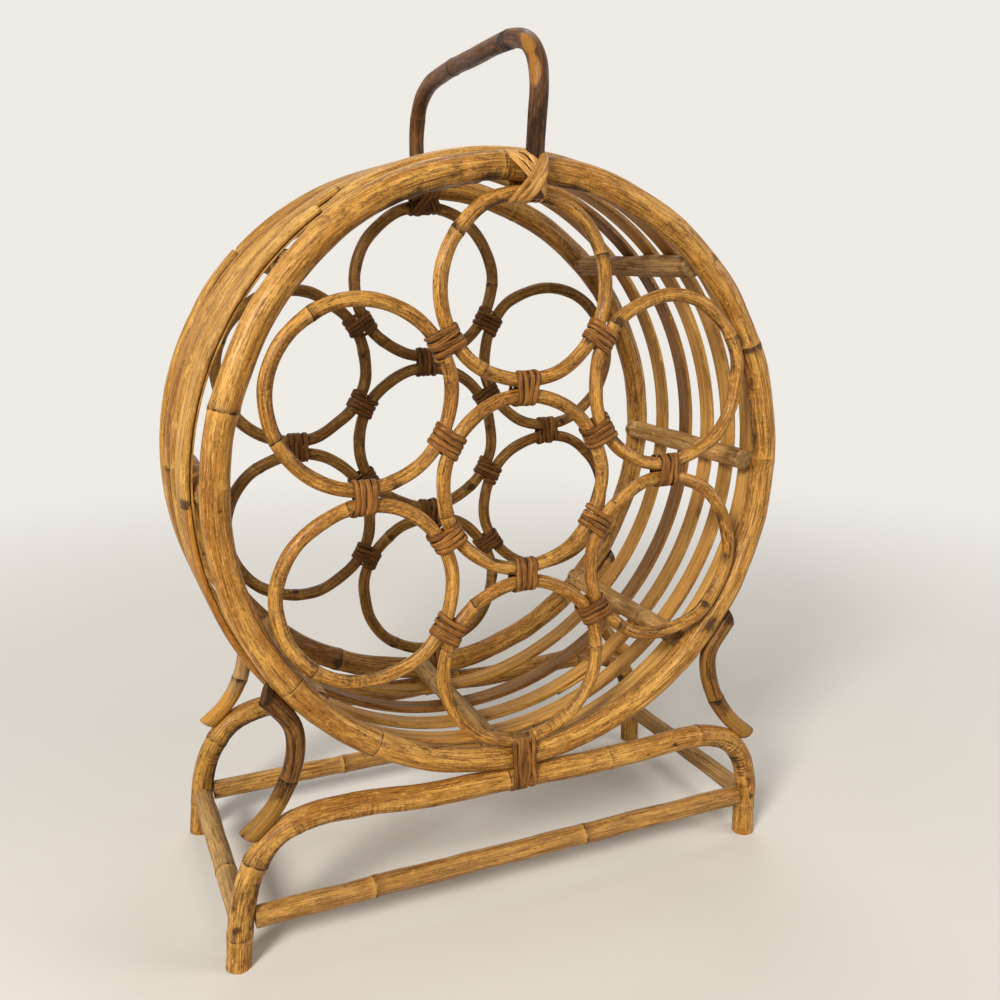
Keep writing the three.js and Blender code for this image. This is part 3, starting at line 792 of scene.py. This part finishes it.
def slat_run(name, index, turns, rise, thick, burnt_and_shaded, material, seed, narrow=0.0):
    """Part of a slat, at a rise from its seat and with a share of its thickness."""
    rng = np.random.default_rng(20 + index)
    sway, drift = Waves(rng, 360, True, 40, 200), Waves(rng, 360, True, 60, 300)
    breadth, fading, waver = (Waves(rng, 360, True, 25, 120) for _ in range(3))
    profile, edge, inner = slat_profile()
    reach = SLAT_INSIDE + rise * SLAT_THICKNESS + 0.2 * sway(turns)
    places = np.array([BARREL[0], 0, BARREL[1]]) + reach[:, None] * spoke(turns)
    places[:, 1] = SLAT_SHARES[index - 1] * SLAT_REACH + 0.7 * drift(turns)
    burns_and_shade = edge[None] * (0.6 + 0.3 * waver(turns))[:, None] + 0.2 * np.clip(fading(turns), 0, 1)[:, None]
    piece = strip(
        name, places, spoke(turns), profile * np.array([-1, 1]), material, seed,
        np.maximum(burns_and_shade, burnt_and_shaded[:, None]),
        np.stack([1 + 0.06 * breadth(turns) - narrow, thick], -1), inner,
    )
    stand_for(f"slat_{index}")


def add_slat(index, start, lap):
    """A slat whose last part lies over its first, and ends square."""
    turns = np.arange(start, start + 360 + lap + 0.5)
    since, left = turns - start, turns[-1] - turns
    over = np.clip((lap + 6 - left) / 5, 0, 1)
    under = np.clip((lap + 1 - since) / 3, 0, 1)
    thick, thin = 1 - 0.6 * under - 0.3 * over, 0 * turns
    if index == PATCHED:
        turn = turns % 360
        thin = np.clip((turn - 234) / 6, 0, 1) * np.clip((332 - turn) / 8, 0, 1)
        thick = np.minimum(thick, 1 - 0.68 * thin)
    burnt_and_shaded = 0.6 * np.exp(-((left / 0.8) ** 2)) + 0.4 * np.exp(-((since / 1.5) ** 2))
    slat_run(
        f"slat_{index}_cane", index, turns, 0.42 * over, thick, burnt_and_shaded, SLATS[index - 1], 20 + index,
        0.1 * thin,
    )


def add_patch(name, turns, material, burnt_turn, rise, thick, seed):
    """A second strip on the thinned part of the front slat. Rise and thickness go from end to end."""
    burnt_and_shaded = 1.2 * np.exp(-(((turns - burnt_turn) / 1.6) ** 2))
    burnt_and_shaded += 0.5 * np.exp(-(((turns - turns[-1]) / 0.6) ** 2))
    rise, thick = (np.linspace(*ends, len(turns)) for ends in (rise, thick))
    slat_run(name, PATCHED, turns, rise, thick, burnt_and_shaded, material, seed)


for index, (start, lap) in enumerate(SLAT_LAPS, 1):
    add_slat(index, start, lap)
UPPER, LOWER = np.arange(268.5, 325, 0.5), np.arange(233, 269.5, 0.5)
add_patch("slat_5_patch", UPPER, SLATS[4], UPPER[0], (0.3, 0.3), (0.82, 0.82), 29)
add_patch("slat_5_fresh_strip", LOWER, ORANGE, 180, (0.2, 0.25), (0.8, 0.62), 30)


# Struts: straight weathered canes
def add_strut(index, turn, material, knots):
    a = math.radians(turn)
    lengths = np.linspace(-STRUT_HALF, STRUT_HALF, 60)
    line = Line([on_drum(STRUT_PLACE, turn, y, BARREL) for y in lengths])
    across = (math.cos(a), 0, -math.sin(a))
    burns_and_shade = [(3, 4, None, 0.5), (line.length - 3, 4, None, 0.5)]
    piece = cane(
        f"strut_{index}_cane", line, across, STRUT_RADIUS - 2 * SHY, material, 40 + index,
        [(line.length * k, 0.6) for k in knots], sides=24, wobble=0.3, swell=0.06, burns_and_shade=burns_and_shade,
        oval=0.05,
    )
    stand_for(f"strut_{index}")


STRUT_LOOKS = [
    (GREY, [0.4]), (GREY, [0.62]), (TAN, [0.35]), (TAN, [0.25, 0.9]),
    (GREY, [0.7]), (TAN, [0.5]), (DUSKY, [0.3]), (GREY, [0.45]),
]
for index, (turn, (material, knots)) in enumerate(zip(STRUT_TURNS, STRUT_LOOKS), 1):
    add_strut(index, turn, material, knots)


# Rings: thin canes, with the knots that show in the photograph
def ring_centre(place, way):
    if place == "centre":
        return np.array([0, way * RING_PLANE, DRUM_HEIGHT])
    return on_drum(RING_SPACING, RING_TURNS[RING_PLACES.index(place)], way * RING_PLANE)


FRONT_KNOTS = {
    "centre": [(253, 0.7), (188, 0.5)],
    "top": [(68, 0.9), (306, 1.0), (210, 0.6), (126, 0.5)],
    "upper_right": [(60.5, 0.8), (312, 0.8), (164, 0.5)],
    "lower_right": [(136, 0.8), (338, 0.5), (215, 0.6)],
    "bottom": [(321, 0.9), (88, 0.6), (287, 0.6)],
    "lower_left": [(219, 1.0), (349, 0.8)],
    "upper_left": [(329, 0.8), (246, 0.8), (160, 0.5)],
}


def add_ring(side, place, seed):
    rng = np.random.default_rng(seed)
    way = SIDES[side]
    line = Line(circle(ring_centre(place, way), RING_RADIUS, 360), True)
    if side == "front":
        turns = FRONT_KNOTS[place]
    else:
        first = rng.uniform(0, 360)
        turns = [(first, 0.8), (first + rng.uniform(100, 150), 0.6), (first + rng.uniform(210, 270), 0.7)]
    draw = rng.uniform
    burns_and_shade = [(t + draw(-3, 3), draw(1.5, 4), draw(200, 340), draw(0.7, 1.1)) for t, _ in turns]
    # Long soft dark marks on the ring's inner side: partly painted shade, partly stain
    burns_and_shade += [(draw(0, 360), draw(8, 24), draw(160, 230), draw(0.4, 0.7)) for _ in range(4)]
    burns_and_shade += [(draw(0, 360), draw(0.6, 1.1), draw(210, 330), 0.9) for _ in range(3)]
    wrinkles = [(draw(0, 360), draw(12, 25), draw(180, 230), 0.5) for _ in range(3)]
    piece = cane(
        f"{side}_ring_{place}_cane", line, Y, CANE_RADIUS - SHY, GOLD if side == "front" else BROWN, seed,
        turned(line, turns), spacing=2.6, wobble=1.3, swell=0.08, burns_and_shade=turned(line, burns_and_shade),
        wrinkles=turned(line, wrinkles), calm=[line.length * k / 6 for k in range(6)], fatness=0.05,
    )
    stand_for(f"{side}_ring_{place}")


for number, side in enumerate(SIDES):
    for k, place in enumerate(["centre", *RING_PLACES]):
        add_ring(side, place, 60 + 10 * number + k)


# Lashings of the grilles
def lashing_strip(
    name, places, outs, u, rng, tip, uneven, burns_and_shade, size, material, seed, node,
):
    """A lashing's strip, with u counting its turns. Its ends narrow over a length to a share, and it is
    burnt by so much in patches and at its edges."""
    turns = u[-1]
    scale = np.clip(np.minimum(u, turns - u) / tip[0], tip[1], 1)
    scale = scale * (1 + uneven * Waves(rng, turns, False, 0.5, 2)(u))
    patches = burns_and_shade[0] * np.clip(Waves(rng, turns, False, 0.4, 1.5)(u), 0, 1)
    profile = strip_profile(*size)
    piece = strip(
        name, places, outs, profile, material, seed, edge_burns(profile, patches, burns_and_shade[1]),
        np.stack([scale, np.clip(scale, 0.7, 1.1)], -1),
    )
    stand_for(node)


def round_two(run, half, reach):
    """A taut loop round two canes that lie 2 half apart, by length along it: places and normals."""
    arc, flat = np.pi * reach, 2 * half
    bounds = [run < arc, run < arc + flat, run < 2 * arc + flat]
    quarter = np.pi / 2
    near_turn, far_turn = run / reach - quarter, (run - arc - flat) / reach + quarter
    turn = np.select(bounds, [near_turn, quarter, far_turn], -quarter)
    straight = ~bounds[0] & bounds[1] | ~bounds[2]
    out_v, out_w = np.where(straight, 0, np.cos(turn)), np.sin(turn)
    v = np.select(bounds, [half, half - (run - arc), -half], -half + (run - 2 * arc - flat))
    return v + reach * out_v, reach * out_w, out_v, out_w


def ring_lashing(name, first, second, way, material, seed, node):
    rng = np.random.default_rng(seed)
    middle = (first + second) / 2
    along = unit(second - first)
    side = unit(np.cross(along, np.array([0, 1.0, 0])))
    deep = np.array([0, float(way), 0])
    turns = RING_STRIP_TURNS
    u = np.linspace(0, turns, round(turns * 40) + 1)
    start = rng.uniform(0.5, 0.9)
    jitter = Waves(rng, turns, False, 0.45, 1.6)
    shift = RING_STRIP_PITCH * (u - turns / 2) + 0.6 * jitter(u) + rng.uniform(-0.4, 0.4)
    half = RING_SPACING / 2 - np.sqrt(RING_RADIUS**2 - shift**2)
    lift = 0.12 + 0.5 * np.clip(Waves(rng, turns, False, 0.3, 1.1)(u), 0, 1)
    reach = CANE_RADIUS + RING_STRIP[1] / 2 + lift
    v, w, out_v, out_w = round_two(((u + start) % 1) * (2 * np.pi * reach + 4 * half), half, reach)
    shift = shift + 0.16 * Waves(rng, turns, False, 0.8, 2.4)(u) * v
    places = middle + v[:, None] * along + w[:, None] * deep + shift[:, None] * side
    outs = out_v[:, None] * along + out_w[:, None] * deep
    lashing_strip(
        name, places, outs, u, rng, (0.12, 0.45), 0.1, (0.4, 0.6), RING_STRIP, material, seed, node,
    )


for number, (side, way) in enumerate(SIDES.items()):
    for k, place in enumerate(RING_PLACES):
        here = ring_centre(place, way)
        following = ring_centre(RING_PLACES[(k + 1) % 6], way)
        for kind, other in (("centre", ring_centre("centre", way)), ("rim", following)):
            node = f"{side}_lashing_{kind}_{place}" if side == "front" else None
            ring_lashing(
                f"{side}_lashing_{kind}_{place}_strip", here, other, way,
                RED if side == "front" else DARK_RED, 100 + 30 * number + 2 * k + (kind == "rim"), node,
            )


# Stand
def add_arch(side, material, seed, knots, burns_and_shade, wrinkles):
    y = SIDES[side] * HOOP_PLANE
    line = Line(smooth_curve([(x * FOOT_SPAN, y, z * ARCH_CROWN) for x, z in ARCH_SHARES]))

    def at(marks):
        return [(line.nearest((x, y, z)), *rest) for x, z, *rest in marks]

    piece = cane(
        f"{side}_arch_pole", line, Y, ARCH_POLE - SHY, material, seed, at(knots), sides=26,
        wobble=0.5, swell=0.06, burns_and_shade=at(burns_and_shade), wrinkles=at(wrinkles),
    )
    stand_for(f"{side}_arch")
    return line


FRONT_ARCH = add_arch(
    "front", HONEY, 201,
    [
        (-165, 64, 1.0), (-140.5, 84.5, 0.5), (131, 88.6, 0.8), (-173, 20, 0.7), (172.6, 21, 0.6),
        (63, 79, 0.6), (-7.5, 79, 0.7),
    ],
    # Burns and painted shade: the long soft marks at angles 190 to 200 lie on the arch's underside and are
    # partly painted shade, partly stain; the wide all-round mark on the left leg at (-170, 45) is painted
    # shadow
    [
        (-174.5, 27, 2.2, 300, 1.2), (174, 29, 2.4, 270, 1.2), (-150, 74, 16, 200, 0.5),
        (163, 60, 14, 200, 0.6), (-60, 83, 14, 200, 0.5), (30, 79, 24, 200, 0.4),
        (110, 82, 1.4, 280, 1.1), (90, 81, 1.2, 260, 1.0), (-170, 45, 45, None, 0.42),
        (171, 40, 40, None, 0.2), (-70, 83, 60, 190, 0.45),
    ],
    [(-148, 74, 32, 200, 0.9), (158, 62, 34, 215, 1.0), (-95, 84, 24, 215, 0.7)],
)
BACK_ARCH = add_arch(
    "back", DUSKY, 202,
    [(-160, 66, 0.8), (-100, 84, 0.6), (20, 79, 0.7), (120, 80, 0.7), (172, 40, 0.6), (-173, 22, 0.6)],
    # The long soft marks at angle 200, on the arch's underside, are partly painted shade and partly stain
    [(-150, 74, 30, 200, 1.1), (-168, 45, 16, 200, 0.9), (158, 62, 20, 200, 0.8)],
    [(-150, 74, 36, 200, 1.0), (158, 62, 34, 200, 0.9)],
)


def leg_at(way, height):
    """Where a leg stands at a height, and the reach of its surface from there."""
    points = FRONT_ARCH.points
    leg = points[points[:, 0] * way > FOOT_SPAN / 2]
    k = int(np.argmin(np.abs(leg[:, 2] - height)))
    low, high = leg[max(k - 1, 0)], leg[min(k + 1, len(leg) - 1)]
    upright = abs(unit(high - low)[2])
    return leg[k][0], ARCH_POLE / upright


def add_stretcher(name, start, end, across, material, seed, knots, burns_and_shade):
    line = Line(np.linspace(start, end, 80))
    piece = cane(
        f"{name}_pole", line, across, STRETCHER_RADIUS - SHY, material, seed,
        [(line.length * k, strength) for k, strength in knots], sides=22, spacing=3.2, wobble=0.4,
        swell=0.06, burns_and_shade=[(line.length * k, half, None, strength) for k, half, strength in burns_and_shade],
    )
    stand_for(name)


top_left, reach_left = leg_at(-1, STRETCHER_HEIGHT + STRETCHER_RADIUS)
top_right, reach_right = leg_at(1, STRETCHER_HEIGHT + STRETCHER_RADIUS)
LEFT_STOP = top_left + reach_left + POLE_END_GAP
RIGHT_STOP = top_right - reach_right - POLE_END_GAP
for side, way in SIDES.items():
    joints = (-94.6, 45.9) if side == "front" else (-71.5, 82)
    knots = [((x - LEFT_STOP) / (RIGHT_STOP - LEFT_STOP), 1.0) for x in joints]
    add_stretcher(
        f"{side}_stretcher", (LEFT_STOP, way * HOOP_PLANE, STRETCHER_HEIGHT),
        (RIGHT_STOP, way * HOOP_PLANE, STRETCHER_HEIGHT), Y, HALF_HONEY, 210 + way, knots,
        [(0.003, 4, 0.3), (0.997, 4, 0.3)],
    )
for end, way in ENDS.items():
    across, _ = leg_at(way, STRETCHER_HEIGHT)
    reach = HOOP_PLANE - ARCH_POLE - POLE_END_GAP
    add_stretcher(
        f"{end}_stretcher", (across, -reach, STRETCHER_HEIGHT), (across, reach, STRETCHER_HEIGHT),
        (1, 0, 0), PALE if end == "left" else GREY, 220 + way,
        [(0.3, 0.9)] if end == "left" else [(0.62, 0.7)], [(0.01, 4, 0.3), (0.99, 4, 0.3)],
    )


BRACE_LOOKS = {
    ("front", "left"): UMBER, ("front", "right"): BARK, ("back", "left"): GREY, ("back", "right"): DUSKY,
}


def add_brace(side, end, seed):
    arch = FRONT_ARCH if side == "front" else BACK_ARCH
    y, way = SIDES[side] * HOOP_PLANE, ENDS[end]
    reach = HOOP_RADIUS + HOOP_POLE + BRACE_GAP + BRACE_RADIUS
    top = [on_drum(reach, way * turn, y) for turn in BRACE_TOP_TURNS]
    foot = []
    for share, gaps in zip(BRACE_FEET[end], BRACE_FOOT_GAPS):
        at = np.array([share * arch.length])
        place, along = arch.place(at)[0], arch.way(at)[0]
        out = np.array([-along[2], 0, along[0]])
        foot.append(place + out * (ARCH_POLE + gaps * BRACE_GAP + BRACE_RADIUS))
    bulged = []
    for share in (1 / 3, 2 / 3):
        point = top[-1] + (foot[0] - top[-1]) * share
        point[0] -= way * BRACE_BULGE[end]
        bulged.append(point)
    line = Line(softened(smooth_curve([*top, *bulged, *foot]), BRACE_EASE))
    belly, knot, worn = (line.length * share for share in (0.25, 0.6, 0.86))
    piece = cane(
        f"{side}_{end}_brace_cane", line, Y, BRACE_RADIUS + BRACE_EXTRA, BRACE_LOOKS[side, end], seed,
        [(knot, 0.9)], sides=24, spacing=2.6, wobble=0.3, swell=0.07,
        burns_and_shade=[(belly, 22, 0 if way > 0 else 180, 0.5), (knot, 3, 250, 1.0), (1, 4, None, 0.8)],
        wears=[(worn, 18, None, 0.8)], slants=(-0.75 * way, 0.35 * way),
    )
    stand_for(f"{side}_{end}_brace")


for k, side in enumerate(SIDES):
    for m, end in enumerate(ENDS):
        add_brace(side, end, 230 + 2 * k + m)


# Handle
def add_handle():
    rise = HANDLE_CROWN - HANDLE_KNEE
    bend = [(0, back * HANDLE_PLANE, HANDLE_KNEE + up * rise) for back, up in HANDLE_SHARES]
    feet = [(0, -HANDLE_PLANE, HANDLE_FOOT), (0, HANDLE_PLANE, HANDLE_FOOT)]
    line = Line(smooth_curve([feet[0], *bend, feet[1]]))

    def near(y, z):
        return line.nearest((0, y, z))

    piece = cane(
        "handle_cane", line, (1, 0, 0), HANDLE_RADIUS, HANDLE, 250,
        [(near(22, 506), 0.9), (near(101, 487), 0.6), (near(-60, 503), 0.7)], sides=24,
        spacing=2.4, swell=0.06,
        burns_and_shade=[
            (near(-56, 504), 6, None, 0.95), (near(-93, 452), 34, None, 0.6),
            (near(-95, 455), 24, 290, 0.7), (near(95, 450), 40, None, 0.3), (6, 8, None, 0.7),
        ],
        wears=[(near(-84, 493), 9, 238, 1.0), (near(-93.5, 482), 9, 238, 1.0)],
    )
    stand_for("handle")


add_handle()


# Lashings that hug a bundle of canes: a taut loop round the sections of the canes in a slanted plane
def taut_point(sections, angle):
    """The point and outward normal of the taut loop in a direction from its middle."""
    a = np.linspace(0, 2 * np.pi, 40, endpoint=False)
    dots = [np.stack([v + rv * np.cos(a), w + rw * np.sin(a)], -1) for (v, w), (rv, rw) in sections]
    dots = np.concatenate(dots)
    loop = dots[convex_hull_2d(dots.tolist())]
    middle = (loop.min(0) + loop.max(0)) / 2
    ray = np.array([math.cos(angle), math.sin(angle)])
    best, normal = middle, ray
    for a, b in zip(loop, np.roll(loop, -1, 0)):
        edge = b - a
        cross = ray[0] * edge[1] - ray[1] * edge[0]
        if abs(cross) < 1e-9:
            continue
        d = a - middle
        t = (d[0] * edge[1] - d[1] * edge[0]) / cross
        k = (d[0] * ray[1] - d[1] * ray[0]) / cross
        if t > 0 and -1e-6 <= k <= 1 + 1e-6:
            best = middle + ray * t
            normal = np.array([edge[1], -edge[0]]) / np.linalg.norm(edge)
    return best, normal


def ring_sag(aside, most):
    """How much lower a ring lies at a distance aside from its top."""
    return RING_RADIUS - math.sqrt(RING_RADIUS**2 - min(abs(aside), most) ** 2)


def wrap(
    side, kind, middle, sections_at, turns, tilt_at, shift_at, lift_at, edge, size, material, seed,
    start,
):
    """An unbroken strip: sections_at(tilt, shift) gives what the loop hugs in its own plane."""
    rng = np.random.default_rng(seed)
    u = np.linspace(0, turns, round(turns * 44) + 1)
    centre = np.array([0, SIDES[side] * HOOP_PLANE, middle])
    deep = np.array([0, float(SIDES[side]), 0])
    places, outs = [], []
    for t in u:
        tilt, shift = tilt_at(t), shift_at(t)
        reach = lift_at(t) + size[1] / 2
        sections = [(place, np.add(radii, reach)) for place, radii in sections_at(tilt, shift)]
        (v, w), (out_v, out_w) = taut_point(sections, 2 * np.pi * t + start)
        long = np.array([math.sin(tilt), 0, math.cos(tilt)])
        places.append(centre + np.array([shift, 0, 0]) + long * v + deep * w)
        outs.append(long * out_v + deep * out_w)
    weights = np.array([1, 2, 3, 2, 1]) / 9
    places, outs = (blurred(np.array(rows), weights, mode="edge") for rows in (places, outs))
    lashing_strip(
        f"{side}_{kind}_strip", places, outs, u, rng, (0.1, 0.5), 0.08, (0.3, edge), size, material, seed,
        f"{side}_{kind}_lashing",
    )


def base_lashing(side, seed):
    rng = np.random.default_rng(seed)
    ring_low = DRUM_HEIGHT - RING_SPACING - RING_RADIUS
    hoop_low = DRUM_HEIGHT - HOOP_RADIUS
    middle = (ARCH_CROWN + ring_low) / 2
    waves = Waves(rng, BASE_STRIP_TURNS, False, 0.6, 2.4)

    def sections_at(tilt, shift):
        ring_at = ring_low + ring_sag(shift, 20) - middle
        return [
            ((ring_at, RING_PLANE - HOOP_PLANE), (CANE_RADIUS, CANE_RADIUS)),
            ((hoop_low - middle, 0), (HOOP_POLE, HOOP_POLE)),
            ((ARCH_CROWN - middle, 0), (ARCH_POLE, ARCH_POLE)),
        ]

    wrap(
        side, "base", middle, sections_at, BASE_STRIP_TURNS, lambda t: math.radians(7) * float(waves(t)),
        lambda t: BASE_STRIP_PITCH * (t - BASE_STRIP_TURNS / 2), lambda t: 0.15, 0.6, BASE_STRIP, RED,
        seed, start=-0.4,
    )


def handle_lashing(side, seed):
    front = side == "front"
    ring_top = DRUM_HEIGHT + RING_SPACING + RING_RADIUS
    bulge = FRONT_BULGE * math.exp(-(((360 - BULGE_TURN) / BULGE_HALF) ** 2)) if front else 0
    hoop_top = DRUM_HEIGHT + HOOP_RADIUS + bulge
    middle = (ring_top + hoop_top) / 2
    change = CROSS_BAND + 0.35

    def crossed(t, span):
        return min(max((t - change) / span + 0.5, 0), 1)

    def tilt_at(t):
        k = crossed(t, 0.22)
        k = k * k * (3 - 2 * k)
        fan = 0.6 * math.sin(t * 2.1)
        return math.radians((CROSS_SLANT + fan) * (2 * k - 1))

    def shift_at(t):
        here = min(t, 2 * change - t)
        return CROSS_PITCH / math.cos(math.radians(CROSS_SLANT)) * (CROSS_BAND / 2 + 0.1 - here)

    def sections_at(tilt, shift):
        lean, steep = math.cos(tilt), max(abs(math.sin(tilt)), 0.3)
        leg = -shift / (steep if tilt > 0 else -steep)
        low = max(leg - HANDLE_RADIUS / steep, (HANDLE_FOOT - middle) / lean)
        high = max(min(leg + HANDLE_RADIUS / steep, 15.0), low + 2)
        across = shift + math.tan(tilt) * (ring_top - middle)
        ring_at = ring_top - ring_sag(across, 24) - middle
        return [
            (((low + high) / 2, HANDLE_PLANE - HOOP_PLANE), ((high - low) / 2, HANDLE_RADIUS)),
            (((hoop_top - middle) / lean, 0), (HOOP_POLE / lean, HOOP_POLE)),
            ((ring_at / lean, RING_PLANE - HOOP_PLANE), (CANE_RADIUS / lean, CANE_RADIUS)),
        ]

    wrap(
        side, "handle", middle, sections_at, 2 * CROSS_BAND + 0.4, tilt_at, shift_at,
        lambda t: 0.15 + 1.1 * crossed(t, 0.2), 0.3 if front else 0.6, CROSS_STRIP,
        STRAW if front else DARK_STRAW, seed, start=math.pi,
    )


for k, side in enumerate(SIDES):
    base_lashing(side, 300 + k)
    handle_lashing(side, 310 + k)


# Floor, light and camera
BACKDROP = (0.86, 0.83, 0.78)
DAYLIGHT = (1.0, 0.97, 0.93)
LAMP_TARGET = (0, 0, 0.26)
FLOOR_HALF = 14


def backdrop_rays(n):
    """One for rays that should meet the plain backdrop: from the camera, by gloss or through glass."""
    path = n.add("ShaderNodeLightPath")
    rays = path.outputs["Is Camera Ray"]
    for label in ("Is Glossy Ray", "Is Transmission Ray"):
        rays = n.math("MAXIMUM", rays, path.outputs[label])
    return rays


def add_floor():
    material = bpy.data.materials.new("pale_floor")
    n = Nodes(material)
    at = n.add("ShaderNodeNewGeometry").outputs["Position"]
    tone = n.ease(n.noise(n.stretch(at, 3, 3, 3), 3, 0.5), 0.3, 0.7)
    seen = backdrop_rays(n)
    shown = n.mix(tone, (0.79, 0.765, 0.725), (0.81, 0.785, 0.745))
    colour = n.mix(seen, (0.42, 0.37, 0.31), shown)
    shader = n.add("ShaderNodeBsdfPrincipled", {"Base Color": colour, "Roughness": 0.75})
    far = n.add("ShaderNodeVectorMath", {0: at}, operation="LENGTH").outputs["Value"]
    glow = n.add("ShaderNodeEmission", {"Color": BACKDROP})
    fade = n.product(n.ease(far, 0.25, 1.3), seen)
    surface = n.blend(fade, shader.outputs[0], glow.outputs[0])
    n.add("ShaderNodeOutputMaterial", {"Surface": surface})
    mesh = bpy.data.meshes.new("floor")
    corners = [(x * FLOOR_HALF, y * FLOOR_HALF, 0) for x, y in ((-1, -1), (1, -1), (1, 1), (-1, 1))]
    mesh.from_pydata(corners, [], [(0, 1, 2, 3)])
    mesh.materials.append(material)
    floor = put_in_scene("floor", mesh)
    floor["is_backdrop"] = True


def add_world():
    world = bpy.data.worlds.new("studio")
    bpy.context.scene.world = world
    n = Nodes(world)
    light, shown = (
        n.add("ShaderNodeBackground", {"Color": colour, "Strength": strength}).outputs[0]
        for colour, strength in ((DAYLIGHT, 0.22), (BACKDROP, 1.0))
    )
    n.add("ShaderNodeOutputWorld", {"Surface": n.blend(backdrop_rays(n), light, shown)})


def add_lamp(name, place, size, power, colour):
    lamp = bpy.data.lights.new(name, "AREA")
    lamp.shape = "DISK"
    lamp.size = size
    lamp.energy = power
    lamp.color = colour
    item = put_in_scene(name, lamp)
    item.location = place
    item.rotation_euler = (Vector(LAMP_TARGET) - Vector(place)).to_track_quat("-Z", "Y").to_euler()


add_floor()
add_world()
add_lamp("key", (-1.55, -1.4, 1.35), 0.7, 56, (1.0, 0.96, 0.9))
add_lamp("fill", (1.7, -1.1, 1.0), 1.0, 13, (1.0, 0.95, 0.87))
add_lamp("top", (0.3, 0.9, 2.1), 1.0, 9, (1.0, 0.98, 0.95))

CAMERA_PLACE = (-0.23964, -0.58501, 0.3886)
CAMERA_AZIMUTH, CAMERA_ELEVATION, CAMERA_ROLL = (math.radians(d) for d in (24.05, -13.47, 0.17))
aim = Matrix.Rotation(-CAMERA_AZIMUTH, 4, "Z") @ Matrix.Rotation(math.pi / 2 + CAMERA_ELEVATION, 4, "X")
lens = bpy.data.cameras.new("camera")
lens.sensor_width = 36
lens.lens = 36.07
lens.shift_x = -0.00075
lens.shift_y = 0.00192
lens.clip_start = 0.02
camera = put_in_scene("camera", lens)
camera.matrix_world = Matrix.Translation(CAMERA_PLACE) @ aim @ Matrix.Rotation(CAMERA_ROLL, 4, "Z")
bpy.context.scene.camera = camera
bpy.context.scene.view_settings.view_transform = "Standard"

bpy.context.view_layer.update()
plain = lambda box: [[float(c) for c in corner] for corner in box]
{"cad": plain(cad_box), "visual": plain(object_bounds())}
